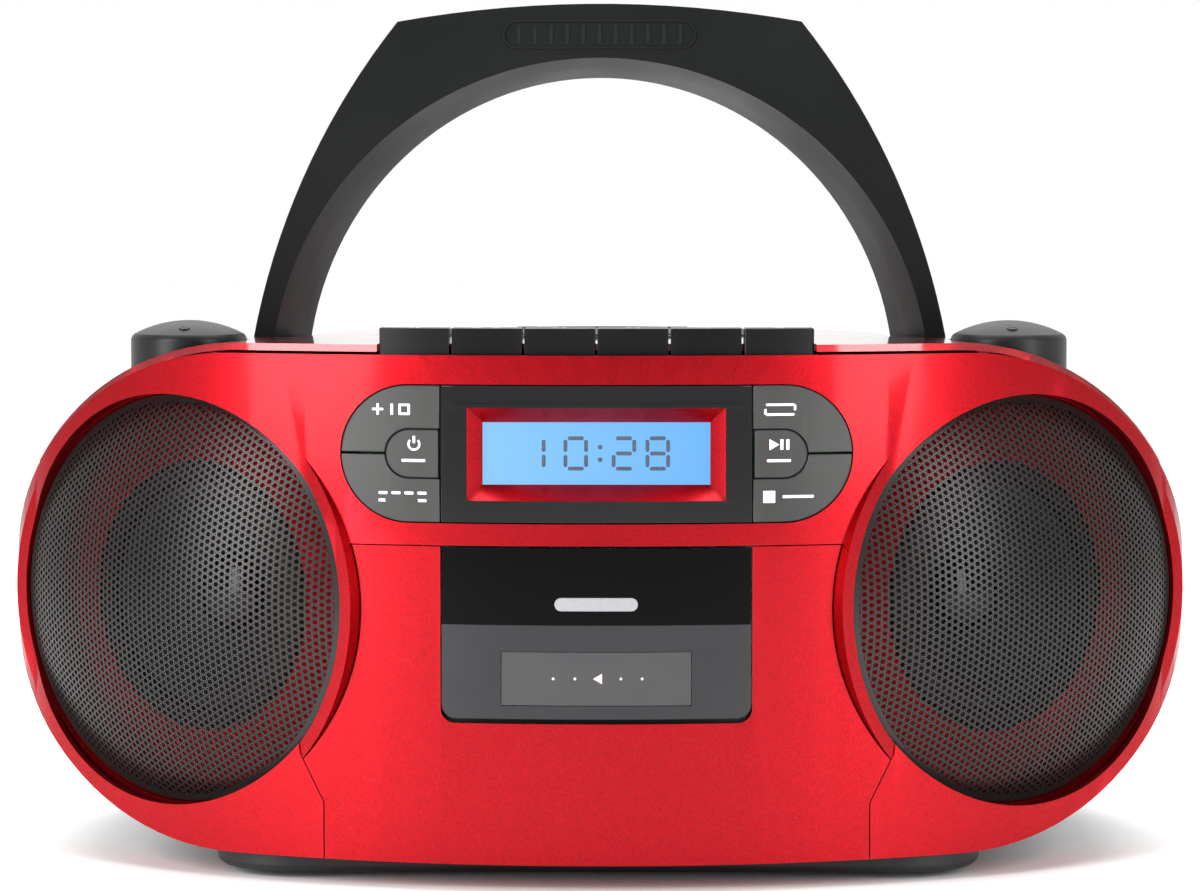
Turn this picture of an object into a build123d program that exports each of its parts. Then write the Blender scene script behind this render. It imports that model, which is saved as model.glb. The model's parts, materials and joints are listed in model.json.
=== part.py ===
from build123d import *
import os
from math import acos, cos, degrees, radians, sin, sqrt

# A portable stereo with a compact disc player, a radio and a cassette deck.
# Origin: on the surface it stands on, at the middle of its box.
# +X is to the right as the user sees it, the front faces -Y, +Z is up.

# ---- driving dimensions, in millimetres ----
body_width = 439.0
body_depth = 250.0
middle_height = 98.0          # height of the widest line of the body
front_end_radius = 89.0       # rounded ends of the red front
cover_end_radius = 92.5       # rounded shoulders, which swell above the front
front_radius = 290.0          # the front is part of a large cylinder
front_shell_depth = 25.0      # how far the red front reaches round the side
wall = 2.5
gap = 0.4                     # visible gap between fitted covers
running = 0.05                # radial clearance of a running fit

ledge_height = 145.0          # deck that the folded handle lies on
ledge_front_y = -22.0
island_half_width = 108.0     # raised island that carries the disc lid
island_half_depth = 106.0
cable_hole_width = 150.0      # under the island, for the wires of the disc mechanism
cable_hole_depth = 84.0

pivot_y = 5.0                 # handle pivots
pivot_height = 170.0
pivot_radius = 6.0
handle_depth = 45.0
handle_half_width = 129.0
handle_top = 314.0
handle_shoulder_z = 307.4     # corners where the top turns down into the arms
handle_shoulder_x = 75.0
arm_inner_x = 109.4           # inner faces of the arms, beside the island
boss_x = 111.0                # inner end of the round bosses
handle_solid_height = 205.0   # the arms are solid below this and hollow above

speaker_x = 150.0
speaker_y = -72.0
speaker_yaw = 34.0
speaker_radius = 73.5         # rim of the domed grille
dome_radius = 140.0
collar_radius = 78.5
baffle_depth = 13.0           # from the rim back to the plate that holds the driver
collar_room = 5.0             # space behind the baffle that the covers leave for the collars
driver_radius = 52.0
basket_radius = 46.0
magnet_radius = 30.0
cone_radius = 42.5

pill_width = 179.0            # black key panel
pill_height = 47.7
pill_z = 152.7
panel_thickness = 3.5
window_half_width = 53.0
bezel_half_width = 45.0
bezel_height = 32.0
screen_half_width = 39.0
screen_height = 22.5
button_gap = 0.35
screen_y = -116.6
board_y = -106.0

seam_height = 120.8           # between the upper front and the lower fascia
door_half_width = 54.0
door_low = 60.4
door_high = 120.0
door_corner = 4.6
door_thickness = 3.0
door_drop = 1.7               # room under the door for its swing
door_knuckle_y = -122.5       # the knuckle it turns on, behind its lower edge
door_knuckle_radius = 1.5
window_z = 74.5
window_width = 66.5
window_height = 19.0
cassette_length = 100.4

key_count = 6
key_pitch = 25.5
key_gap = 0.9
key_setback = 4.4             # from the red front to the front of the keys
key_low = 181.0
key_high = 196.3
key_back_y = -101.0
key_pivot_y = -95.0
key_pivot_z = 180.0
key_shaft_radius = 1.5
key_hub_radius = 3.6

knob_x = 149.0
knob_y = -54.0
knob_radius = 21.0
knob_low = 176.5
knob_rim = 192.0
knob_top = 197.6
knob_stem_radius = 3.0

disc_y = 30.0                 # axis of the compact disc
lid_radius = 68.0
lid_thickness = 3.0
lid_swing_room = 2.4          # the lid's rear edge swings back as it opens
hinge_x = 30.0
hinge_y = 102.0
hinge_z = 186.5
hinge_pin_radius = 1.2
well_floor = 174.0
chassis_z = 156.0             # sheet that carries the spindle and the rails
pickup_x = 26.0
spindle_radius = 1.5
rail_z = 165.0
rail_offset = 16.0
rail_radius = 1.5

hub_x = 21.25                 # half the distance between cassette reels
hub_z = 80.0
capstan_x = 27.0
capstan_z = 107.0
capstan_radius = 1.0
flywheel_radius = 20.0
motor_x = -38.0
motor_z = 70.0
pulley_radius = 5.0
deck_y = -97.5                # front face of the deck plate
deck_thickness = 1.5
head_y = deck_y - 3.2         # the head plate slides in front of the deck plate
head_low = 118.8
belt_y = -90.0
holder_front_y = -116.6
holder_low = 52.0

foot_height = 2.0
foot_radius = 9.0
base_height = 9.0
base_half_width = 138.0
base_front_y = -97.0
base_rear_y = 110.0

battery_half_width = 105.0
battery_low = 28.0
battery_high = 84.0
battery_front_y = 92.0
hatch_pin_radius = 1.1        # rounded lower edge that the hatch turns on
hatch_pin_z = battery_low + 0.5 + hatch_pin_radius

transformer_x = 105.0
transformer_y = 62.0
transformer_height = 38.0
inlet_x = 150.0               # mains inlet in the rear wall
inlet_z = 60.0
inlet_width = 22.0
inlet_height = 18.0
inlet_depth = 12.0
inlet_recess = 8.0

antenna_x = -150.0
antenna_y = 122.0
antenna_z = 131.5
antenna_radius = 2.3
antenna_length = 188.0
antenna_wall = 0.7
rebate_low = 126.0
rebate_y = 116.5
rebate_half_width = 168.0     # recess in the rear wall that holds the folded aerial

front_y = -body_depth / 2
rear_y = body_depth / 2
front_centre_y = front_y + front_radius
half_width = body_width / 2
top_height = middle_height + cover_end_radius
tall = 400.0                  # longer than the body in every direction
bottom_up = (Align.CENTER, Align.CENTER, Align.MIN)

os.makedirs("parts", exist_ok=True)


def save(name, part):
    """Label one piece and write it under its own name."""
    part.label = name
    export_step(part, f"parts/{name}.step")


# ---- blocks that the casing pieces are cut from ----
def plan_block(shrink=0.0):
    """The body seen from above, drawn in by shrink and pulled up."""
    front_turn = degrees(acos(0.724))
    side_turn = 20.0
    rear_radius = 60.0
    with BuildPart() as block:
        with BuildSketch(Plane.XY):
            with BuildLine():
                front = JernArc((0, front_y), (1, 0), front_radius, front_turn)
                cheek_radius = (half_width - (front @ 1).X) / (1 - sin(radians(front_turn)))
                cheek = JernArc(front @ 1, front % 1, cheek_radius, 90 - front_turn)
                side = JernArc(cheek @ 1, cheek % 1, 150, side_turn)
                corner_drop = rear_radius * (1 - sin(radians(side_turn)))
                straight = (rear_y - (side @ 1).Y - corner_drop) / cos(radians(side_turn))
                edge = PolarLine(side @ 1, straight, direction=side % 1)
                corner = JernArc(edge @ 1, edge % 1, rear_radius, 90 - side_turn)
                back = Line(corner @ 1, (0, rear_y))
                Line(back @ 1, (0, front_y))
            make_face()
            mirror(about=Plane.YZ)
            if shrink:
                offset(amount=-shrink)
        extrude(amount=tall)
    return block.part


def body_block(end_radius, shrink=0.0):
    """The plan cut to the rounded outline that the front view shows."""
    centres = 2 * (half_width - end_radius)
    with BuildPart() as block:
        add(plan_block(shrink))
        with BuildSketch(Plane.XZ):
            with Locations((0, middle_height)):
                SlotCenterToCenter(centres, 2 * (end_radius - shrink))
        extrude(amount=tall, both=True, mode=Mode.INTERSECT)
    return block.part


def front_slab(near, far):
    """The zone between two depths behind the curved front."""
    with BuildPart() as slab:
        with BuildSketch(Plane.XY):
            with Locations((0, front_centre_y)):
                Circle(front_radius - near)
                Circle(front_radius - far, mode=Mode.SUBTRACT)
            Rectangle(2 * tall, 2 * tall, align=(Align.CENTER, Align.MIN), mode=Mode.SUBTRACT)
        extrude(amount=tall)
    return slab.part


def front_zone(depth):
    """Everything in front of the curve that lies depth behind the front."""
    with BuildPart() as zone:
        with Locations((0, front_y + depth, 0)):
            Box(2 * tall, body_depth, tall, align=bottom_up)
        with Locations((0, front_centre_y + depth, 0)):
            Cylinder(front_radius, tall, align=bottom_up, mode=Mode.SUBTRACT)
        with Locations((0, front_y + depth + front_radius, 0)):
            Box(2 * tall, front_radius, tall, align=bottom_up, mode=Mode.SUBTRACT)
    return zone.part


def above(height):
    """All space over a height."""
    with BuildPart() as space:
        with Locations((0, 0, height)):
            Box(2 * tall, 2 * tall, tall, align=bottom_up)
    return space.part


def ledge_cut(grow=0.0):
    """The room round the island that takes the folded handle."""
    with BuildPart() as room:
        with BuildSketch(Plane.XY.offset(ledge_height - grow)):
            with Locations((0, ledge_front_y - grow)):
                Rectangle(2 * tall, 2 * tall, align=(Align.CENTER, Align.MIN))
            with Locations((0, pivot_y)):
                Ellipse(island_half_width - grow, island_half_depth - grow, mode=Mode.SUBTRACT)
            with Locations((0, pivot_y)):
                Rectangle(2 * (island_half_width - grow), 4 * handle_depth, align=(Align.CENTER, Align.MAX),
                          mode=Mode.SUBTRACT)
        extrude(amount=tall)
    return room.part


def speaker_plane(side):
    """Rim plane of one speaker, its Z axis pointing out of the grille."""
    outward = (side * sin(radians(speaker_yaw)), -cos(radians(speaker_yaw)), 0)
    return Plane(origin=(side * speaker_x, speaker_y, middle_height), x_dir=(0, 0, 1), z_dir=outward)


def speaker_cylinders(radius, low, high):
    """A cylinder on each speaker's axis, between two heights over the rim."""
    with BuildPart() as pair:
        for side in (-1, 1):
            with BuildSketch(speaker_plane(side).offset(low)):
                Circle(radius)
            extrude(amount=high - low)
    return pair.part


def front_profile(points):
    """A symmetrical outline on the front, pushed through the front half."""
    with BuildPart() as block:
        with BuildSketch(Plane.XZ.offset(30)):
            with BuildLine():
                Polyline(*points, close=True)
            make_face()
            mirror(about=Plane.YZ)
        extrude(amount=tall)
    return block.part


def fascia_outline(inset):
    """The lower fascia's half outline, down both sides of the parting lines."""
    return [(0, seam_height - inset), (112, seam_height - inset), (105 - inset, 46), (96.4 - inset, 29),
            (96.4 - inset, 0), (0, 0)]


def door_block(grow, low, high):
    """The cassette door's front view with its rounded lower corners, pushed through the front half."""
    with BuildPart() as block:
        with BuildSketch(Plane.XZ.offset(30)) as face:
            with Locations((0, low)):
                Rectangle(2 * (door_half_width + grow), high - low, align=(Align.CENTER, Align.MIN))
            fillet(face.vertices().sort_by(Axis.Y)[:2], door_corner + grow)
        extrude(amount=tall)
    return block.part


def knob_cylinders(radius, low):
    """An upright cylinder under each knob, from a height upwards."""
    with BuildPart() as pair:
        with Locations((-knob_x, knob_y, low), (knob_x, knob_y, low)):
            Cylinder(radius, tall, align=bottom_up)
    return pair.part


knob_cup_z = knob_low - 0.6
knob_cup_radius = knob_radius + 0.8
knob_cups = knob_cylinders(knob_cup_radius + wall, knob_cup_z - wall)
zone = front_zone(front_shell_depth)
front_outer = body_block(front_end_radius)
front_inner = body_block(front_end_radius, wall)
collars = speaker_cylinders(collar_radius, -baffle_depth - 1, 2)
collar_clearance = speaker_cylinders(collar_radius + gap, -baffle_depth - collar_room, 30)

key_bay_width = key_count * key_pitch + 2 * gap
with BuildPart() as key_bay:
    add(front_slab(2.9, 60))
    with Locations((0, 0, key_low - 4)):
        Box(key_bay_width, body_depth, 60, align=bottom_up, mode=Mode.INTERSECT)


# ---- casing ----
with BuildPart() as front_cabinet:
    add(front_outer)
    add(front_inner, mode=Mode.SUBTRACT)
    add(collars)
    add(front_profile(fascia_outline(0)), mode=Mode.SUBTRACT)
    add(collars)
    add(zone, mode=Mode.INTERSECT)
    add(speaker_cylinders(speaker_radius + gap, -baffle_depth + wall, 30), mode=Mode.SUBTRACT)
    add(speaker_cylinders(driver_radius - 3, -60, 30), mode=Mode.SUBTRACT)
    add(speaker_cylinders(driver_radius + gap, -60, -baffle_depth), mode=Mode.SUBTRACT)
    with BuildSketch(Plane.XZ.offset(30)):
        with Locations((0, pill_z)):
            SlotOverall(pill_width + 2 * gap, pill_height + 2 * gap)
    extrude(amount=tall, mode=Mode.SUBTRACT)
    add(key_bay.part, mode=Mode.SUBTRACT)
    add(knob_cups, mode=Mode.SUBTRACT)
save("front_cabinet", front_cabinet.part)

with BuildPart() as lower_fascia:
    add(front_outer)
    add(front_inner, mode=Mode.SUBTRACT)
    add(zone, mode=Mode.INTERSECT)
    add(front_profile(fascia_outline(gap)), mode=Mode.INTERSECT)
    add(door_block(gap, door_low - door_drop, seam_height + wall), mode=Mode.SUBTRACT)
    add(collar_clearance, mode=Mode.SUBTRACT)
save("lower_fascia", lower_fascia.part)


with BuildPart() as cover_room:
    add(body_block(cover_end_radius, wall))
    add(above(ledge_height), mode=Mode.INTERSECT)
    add(ledge_cut(wall), mode=Mode.SUBTRACT)
    add(knob_cups, mode=Mode.SUBTRACT)

with BuildPart() as cover_nest:
    add(front_outer)
    add(zone, mode=Mode.INTERSECT)
    add(knob_cups, mode=Mode.SUBTRACT)

with BuildPart() as top_cover:
    add(body_block(cover_end_radius))
    add(above(ledge_height), mode=Mode.INTERSECT)
    add(ledge_cut(), mode=Mode.SUBTRACT)
    add(front_zone(3.0), mode=Mode.SUBTRACT)
    add(cover_room.part, mode=Mode.SUBTRACT)
    add(cover_nest.part, mode=Mode.SUBTRACT)
    add(collar_clearance, mode=Mode.SUBTRACT)
    add(knob_cylinders(knob_cup_radius, knob_cup_z), mode=Mode.SUBTRACT)
    add(knob_cylinders(knob_stem_radius + running, 0), mode=Mode.SUBTRACT)
    with Locations((0, key_back_y + gap, key_low - 4)):
        Box(key_bay_width, tall, 60, align=(Align.CENTER, Align.MAX, Align.MIN), mode=Mode.SUBTRACT)
    with Locations((0, disc_y, ledge_height), (0, disc_y + lid_swing_room, ledge_height)):
        Cylinder(lid_radius + gap, tall, align=bottom_up, mode=Mode.SUBTRACT)
    with Locations((-hinge_x, hinge_y - 4, hinge_z - 5), (hinge_x, hinge_y - 4, hinge_z - 5)):
        Box(9, 16, 40, align=bottom_up, mode=Mode.SUBTRACT)
    with Locations((-hinge_x, hinge_y, hinge_z), (hinge_x, hinge_y, hinge_z)):
        Cylinder(hinge_pin_radius + running, 17, rotation=(0, 90, 0), mode=Mode.SUBTRACT)
save("top_cover", top_cover.part)

with BuildPart() as rear_cabinet:
    add(front_outer)
    add(above(ledge_height), mode=Mode.SUBTRACT)
    add(front_inner, mode=Mode.SUBTRACT)
    with Locations((0, ledge_front_y, ledge_height - wall)):
        Box(2 * (half_width - 12), rear_y - ledge_front_y - 1, wall,
            align=(Align.CENTER, Align.MIN, Align.MIN))
    with Locations((0, ledge_front_y + 4, ledge_height - 2 * wall)):
        Box(cable_hole_width, cable_hole_depth, 3 * wall, align=(Align.CENTER, Align.MIN, Align.MIN),
            mode=Mode.SUBTRACT)
    with Locations((0, rebate_y - wall, rebate_low - wall)):
        Box(2 * rebate_half_width + 4, rear_y - rebate_y + wall, ledge_height - rebate_low + wall,
            align=(Align.CENTER, Align.MIN, Align.MIN))
    with Locations((0, rebate_y, rebate_low)):
        Box(2 * rebate_half_width, tall, tall, align=(Align.CENTER, Align.MIN, Align.MIN), mode=Mode.SUBTRACT)
    with Locations((0, battery_front_y - wall, battery_low - wall)):
        Box(2 * (battery_half_width + wall), rear_y - battery_front_y + wall,
            battery_high - battery_low + 2 * wall, align=(Align.CENTER, Align.MIN, Align.MIN))
    with Locations((0, battery_front_y, battery_low)):
        Box(2 * battery_half_width, tall, battery_high - battery_low,
            align=(Align.CENTER, Align.MIN, Align.MIN), mode=Mode.SUBTRACT)
    add(front_outer, mode=Mode.INTERSECT)
    add(zone, mode=Mode.SUBTRACT)
    with Locations((inlet_x, rear_y - 20, inlet_z)):
        Box(inlet_width + 0.6, tall, inlet_height + 0.6, align=(Align.CENTER, Align.MIN, Align.CENTER),
            mode=Mode.SUBTRACT)
save("rear_cabinet", rear_cabinet.part)

with BuildPart() as base_cover:
    with BuildSketch(Plane.XY.offset(foot_height)) as base_plan:
        with Locations((0, (base_front_y + base_rear_y) / 2)):
            RectangleRounded(2 * base_half_width, base_rear_y - base_front_y, 30)
    extrude(amount=base_height - foot_height)
    chamfer(base_cover.faces().sort_by(Axis.Z)[0].edges(), 2)
    with BuildSketch(Plane.XY.offset(foot_height + wall)):
        with Locations((0, (base_front_y + base_rear_y) / 2)):
            RectangleRounded(2 * (base_half_width - wall), base_rear_y - base_front_y - 2 * wall, 27.5)
    extrude(amount=base_height, mode=Mode.SUBTRACT)
save("base_cover", base_cover.part)

foot_x = base_half_width - 24
with BuildPart() as rubber_feet:
    with Locations(*[(x, y, 0) for x in (-foot_x, foot_x) for y in (base_front_y + 24, base_rear_y - 24)]):
        Cylinder(foot_radius, foot_height, align=bottom_up)
save("rubber_feet", rubber_feet.part)

screw_places = [(x, y) for x in (-110, 110) for y in (-70, 85)]
with BuildPart() as cabinet_screws:
    with Locations(*[(x, y, base_height - 4.4) for x, y in screw_places]):
        Cylinder(3.2, 2.0, align=bottom_up)
    with Locations(*[(x, y, base_height - 2.4) for x, y in screw_places]):
        Cylinder(1.5, 2.3, align=bottom_up)
save("cabinet_screws", cabinet_screws.part)

with BuildPart() as battery_door:
    with Locations((0, rear_y - 2 * hatch_pin_radius, hatch_pin_z)):
        Box(2 * battery_half_width - 1, 2 * hatch_pin_radius, battery_high - 0.5 - hatch_pin_z,
            align=(Align.CENTER, Align.MIN, Align.MIN))
    with Locations((0, rear_y - hatch_pin_radius, hatch_pin_z)):
        Cylinder(hatch_pin_radius, 2 * battery_half_width - 1, rotation=(0, 90, 0))
save("battery_door", battery_door.part)

with BuildPart() as ac_inlet:
    with Locations((inlet_x, rear_y - inlet_recess - inlet_depth, inlet_z)):
        Box(inlet_width, inlet_depth, inlet_height, align=(Align.CENTER, Align.MIN, Align.CENTER))
    inlet_face = Plane(origin=(inlet_x, rear_y - inlet_recess, inlet_z), x_dir=(1, 0, 0), z_dir=(0, -1, 0))
    with BuildSketch(inlet_face):
        SlotOverall(13.5, 7.5)
    extrude(amount=inlet_depth - 3, mode=Mode.SUBTRACT)
    with Locations((inlet_x - 3, rear_y - 17, inlet_z), (inlet_x + 3, rear_y - 17, inlet_z)):
        Cylinder(1.2, 7, rotation=(-90, 0, 0), align=bottom_up)
save("ac_inlet", ac_inlet.part)

# ---- handle: two shells that close on each other, on two pivot pins ----
def arch(depth_low, depth_high, inset=0.0):
    """A slice of the solid handle between two depths, before its inside is cut."""
    with BuildPart() as slice_part:
        with BuildSketch(Plane.XZ.offset(-depth_high)):
            with BuildLine():
                top = ThreePointArc((-handle_shoulder_x, handle_shoulder_z), (0, handle_top),
                                    (handle_shoulder_x, handle_shoulder_z))
                right = ThreePointArc(top @ 1, (111, 248), (handle_half_width, 190))
                Line(right @ 1, (handle_half_width, pivot_height))
                Line((handle_half_width, pivot_height), (-handle_half_width, pivot_height))
                Line((-handle_half_width, pivot_height), (-handle_half_width, 190))
                ThreePointArc((-handle_half_width, 190), (-111, 248), top @ 0)
            make_face()
            if inset:
                offset(amount=-inset)
        extrude(amount=depth_high - depth_low)
    return slice_part.part


def grip_opening(grow=0.0):
    """The room under the arch, wider at the front than at the rear."""
    with BuildPart() as room:
        with BuildSketch(Plane.XZ.offset(-(pivot_y + handle_depth / 2))):
            with Locations((0, pivot_height)):
                Ellipse(112.5 + grow, 118 + grow)
        with BuildSketch(Plane.XZ.offset(-(pivot_y - handle_depth / 2))):
            with Locations((0, pivot_height)):
                Ellipse(123 + grow, 124 + grow)
        loft()
    return room.part


with BuildPart() as handle_hollow:
    add(arch(pivot_y - handle_depth / 2 + wall, pivot_y + handle_depth / 2 - wall, wall))
    add(grip_opening(wall), mode=Mode.SUBTRACT)
    add(above(handle_solid_height), mode=Mode.INTERSECT)

with BuildPart() as handle_whole:
    add(arch(pivot_y - handle_depth / 2, pivot_y + handle_depth / 2))
    for side in (-1, 1):
        with BuildSketch(Plane.YZ.offset(side * boss_x)):
            with Locations((pivot_y, pivot_height)):
                Circle(handle_depth / 2)
        extrude(amount=side * (handle_half_width - boss_x))
    with BuildSketch(Plane.XZ.offset(-(pivot_y + handle_depth))):
        with Locations((0, pivot_height)):
            Rectangle(2 * arm_inner_x, 52)
    extrude(amount=2 * handle_depth, mode=Mode.SUBTRACT)
    add(grip_opening(), mode=Mode.SUBTRACT)
    add(handle_hollow.part, mode=Mode.SUBTRACT)
    for side in (-1, 1):
        with BuildSketch(Plane.YZ.offset(side * boss_x)):
            with Locations((pivot_y, pivot_height)):
                Circle(handle_depth / 2 - 3)
        extrude(amount=side * 12)
    with Locations((0, pivot_y, pivot_height)):
        Cylinder(pivot_radius + running, 252, rotation=(0, 90, 0), mode=Mode.SUBTRACT)

for name, keep in (("handle_front_shell", Keep.BOTTOM), ("handle_rear_shell", Keep.TOP)):
    with BuildPart() as handle_shell:
        add(handle_whole.part)
        split(bisect_by=Plane(origin=(0, pivot_y, 0), z_dir=(0, 1, 0)), keep=keep)
    save(name, handle_shell.part)

with BuildPart() as handle_pivot_pins:
    with Locations((-116, pivot_y, pivot_height), (116, pivot_y, pivot_height)):
        Cylinder(pivot_radius, 15.8, rotation=(0, 90, 0))
save("handle_pivot_pins", handle_pivot_pins.part)

# ---- speakers ----
for side, name in ((-1, "left"), (1, "right")):
    rim = speaker_plane(side)
    sphere_drop = sqrt(dome_radius ** 2 - speaker_radius ** 2)
    with BuildPart() as grille:
        with BuildSketch(rim):
            Circle(speaker_radius)
        extrude(amount=30)
        with Locations(rim.offset(-sphere_drop)):
            Sphere(dome_radius, mode=Mode.INTERSECT)
            Sphere(dome_radius - 1.0, mode=Mode.SUBTRACT)
    save(f"speaker_grille_{name}", grille.part)

    with BuildPart() as driver:
        with BuildSketch(rim.offset(-baffle_depth - 2)):
            Circle(driver_radius)
        extrude(amount=2)
        with BuildSketch(rim.offset(-baffle_depth - 2)):
            Circle(basket_radius)
        with BuildSketch(rim.offset(-baffle_depth - 26)):
            Circle(26)
        loft()
        with BuildSketch(rim.offset(-baffle_depth - 40)):
            Circle(magnet_radius)
        extrude(amount=14)
        with BuildSketch(rim.offset(-baffle_depth)):
            Circle(basket_radius - 2)
        with BuildSketch(rim.offset(-baffle_depth - 24)):
            Circle(20)
        loft(mode=Mode.SUBTRACT)
    save(f"speaker_driver_{name}", driver.part)

    with BuildPart() as cone:
        with BuildSketch(rim.offset(-baffle_depth - 1)):
            Circle(cone_radius)
        with BuildSketch(rim.offset(-baffle_depth - 20)):
            Circle(20)
        loft()
        with BuildSketch(rim.offset(-baffle_depth + 1)):
            Circle(cone_radius - 2.5)
        with BuildSketch(rim.offset(-baffle_depth - 18)):
            Circle(14)
        loft(mode=Mode.SUBTRACT)
    save(f"speaker_cone_{name}", cone.part)

# ---- black key panel with its display ----
panel_slab = front_slab(0, panel_thickness)

with BuildPart() as display_panel:
    with BuildSketch(Plane.XZ.offset(30)):
        with Locations((0, pill_z)):
            Rectangle(2 * (window_half_width + 1.2), pill_height)
            Rectangle(2 * bezel_half_width + 2 * gap, bezel_height + 2 * gap, mode=Mode.SUBTRACT)
    extrude(amount=tall)
    add(panel_slab, mode=Mode.INTERSECT)
save("display_panel", display_panel.part)

with BuildPart() as display_bezel:
    with BuildSketch(Plane.XZ.offset(30)):
        with Locations((0, pill_z)):
            Rectangle(2 * bezel_half_width, bezel_height)
            Rectangle(2 * screen_half_width, screen_height, mode=Mode.SUBTRACT)
    extrude(amount=tall)
    add(front_slab(0.6, 4.5), mode=Mode.INTERSECT)
save("display_bezel", display_bezel.part)

with BuildPart() as lcd_module:
    with Locations((0, screen_y, pill_z)):
        Box(2 * screen_half_width + 4, 5, screen_height + 4, align=(Align.CENTER, Align.MIN, Align.CENTER))
save("lcd_module", lcd_module.part)

with BuildPart() as control_board:
    with Locations((0, board_y, pill_z)):
        Box(166, 1.6, 44, align=(Align.CENTER, Align.MIN, Align.CENTER))
save("control_board", control_board.part)

d_radius = 8.4                # two D-shaped buttons beside the display
d_inner = window_half_width + 2.0
d_round = 65.2
button_names = {(-1, 1): "preset_button", (-1, -1): "program_button",
                (1, 1): "repeat_button", (1, -1): "stop_button"}
for (side, level), name in button_names.items():
    with BuildPart() as button:
        with BuildSketch(Plane.XZ.offset(30)):
            with Locations((0, pill_z)):
                SlotOverall(pill_width, pill_height)
            with Locations((0, pill_z)):
                Rectangle(2 * (window_half_width + 1.2 + button_gap), pill_height, mode=Mode.SUBTRACT)
            with Locations((-side * tall / 2, pill_z)):
                Rectangle(tall, tall, mode=Mode.SUBTRACT)
            with Locations((0, pill_z - level * (tall / 2 - button_gap))):
                Rectangle(tall, tall, mode=Mode.SUBTRACT)
            with Locations((side * d_round, pill_z)):
                Circle(d_radius + button_gap, mode=Mode.SUBTRACT)
            with Locations((side * d_round / 2, pill_z)):
                Rectangle(d_round, 2 * (d_radius + button_gap), mode=Mode.SUBTRACT)
        extrude(amount=tall)
        add(panel_slab, mode=Mode.INTERSECT)
    save(name, button.part)

for side, name in ((-1, "mode_button"), (1, "play_button")):
    with BuildPart() as button:
        with BuildSketch(Plane.XZ.offset(30)):
            with Locations((side * d_round, pill_z)):
                Circle(d_radius)
            with Locations((side * (d_round + d_inner) / 2, pill_z)):
                Rectangle(d_round - d_inner, 2 * d_radius)
            with Locations((side * d_inner / 2, pill_z)):
                Rectangle(d_inner, tall, mode=Mode.SUBTRACT)
        extrude(amount=tall)
        add(panel_slab, mode=Mode.INTERSECT)
    save(name, button.part)

# ---- six deck keys on one shaft ----
key_names = ["pause_key", "eject_key", "forward_key", "rewind_key", "deck_play_key", "record_key"]
with BuildPart() as key_bank:
    add(front_slab(key_setback, 23))
    with Locations((0, key_back_y, key_low)):
        Box(tall, tall, key_high - key_low, align=(Align.CENTER, Align.MAX, Align.MIN), mode=Mode.INTERSECT)
    with Locations((0, key_back_y - 4, key_pivot_z - key_hub_radius)):
        Box(tall, 4, 8, align=(Align.CENTER, Align.MIN, Align.MIN))
    with Locations((0, key_back_y, key_pivot_z - key_hub_radius)):
        Box(tall, key_pivot_y - key_back_y, 2 * key_hub_radius, align=(Align.CENTER, Align.MIN, Align.MIN))
    with Locations((0, key_pivot_y, key_pivot_z)):
        Cylinder(key_hub_radius, tall, rotation=(0, 90, 0))
        Cylinder(key_shaft_radius + running, tall, rotation=(0, 90, 0), mode=Mode.SUBTRACT)
for index, name in enumerate(key_names):
    key_x = (index - (key_count - 1) / 2) * key_pitch
    with BuildPart() as key:
        with Locations((key_x, 0, 0)):
            Box(key_pitch - key_gap, 2 * tall, 2 * tall)
        add(key_bank.part, mode=Mode.INTERSECT)
    save(name, key.part)

with BuildPart() as key_shaft:
    with Locations((0, key_pivot_y, key_pivot_z)):
        Cylinder(key_shaft_radius, key_count * key_pitch + 4, rotation=(0, 90, 0))
save("key_shaft", key_shaft.part)

# ---- two knobs, each with a shallow dome on top ----
dome_rise = knob_top - knob_rim
dome_of_knob = (knob_radius ** 2 + dome_rise ** 2) / (2 * dome_rise)
for side, name in ((-1, "function_knob"), (1, "volume_knob")):
    with BuildPart() as knob:
        with Locations((side * knob_x, knob_y, knob_low)):
            Cylinder(knob_radius, knob_top - knob_low, align=bottom_up)
        with Locations((side * knob_x, knob_y, knob_top - dome_of_knob)):
            Sphere(dome_of_knob, mode=Mode.INTERSECT)
        with Locations((side * knob_x, knob_y, knob_low - 10)):
            Cylinder(knob_stem_radius, 10.5, align=bottom_up)
    save(name, knob.part)

# ---- compact disc mechanism ----
with BuildPart() as cd_lid:
    with Locations((0, disc_y, top_height - lid_thickness + 0.6)):
        Cylinder(lid_radius, lid_thickness, align=bottom_up)
    for side in (-1, 1):
        with Locations((side * hinge_x, hinge_y - 14, hinge_z - 0.9)):
            Box(8, 14, 5.4, align=(Align.CENTER, Align.MIN, Align.MIN))
        with Locations((side * hinge_x, hinge_y, hinge_z)):
            Cylinder(2.5, 8, rotation=(0, 90, 0))
            Cylinder(hinge_pin_radius, 16, rotation=(0, 90, 0))
save("cd_lid", cd_lid.part)

with BuildPart() as cd_well:
    with Locations((0, disc_y, well_floor)):
        Cylinder(lid_radius - 0.6, 11, align=bottom_up)
    with Locations((0, disc_y, well_floor + 2)):
        Cylinder(lid_radius - 4, 11, align=bottom_up, mode=Mode.SUBTRACT)
    with Locations((0, disc_y, well_floor)):
        Cylinder(17, 20, mode=Mode.SUBTRACT)
    with Locations((42, disc_y, well_floor)):
        Box(56, 24, 20, mode=Mode.SUBTRACT)
    with Locations((0, disc_y, well_floor - 4)):
        Cylinder(lid_radius - 0.6, 4, align=bottom_up)
        Cylinder(lid_radius - 2.6, 4, align=bottom_up, mode=Mode.SUBTRACT)
save("cd_well", cd_well.part)

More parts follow.
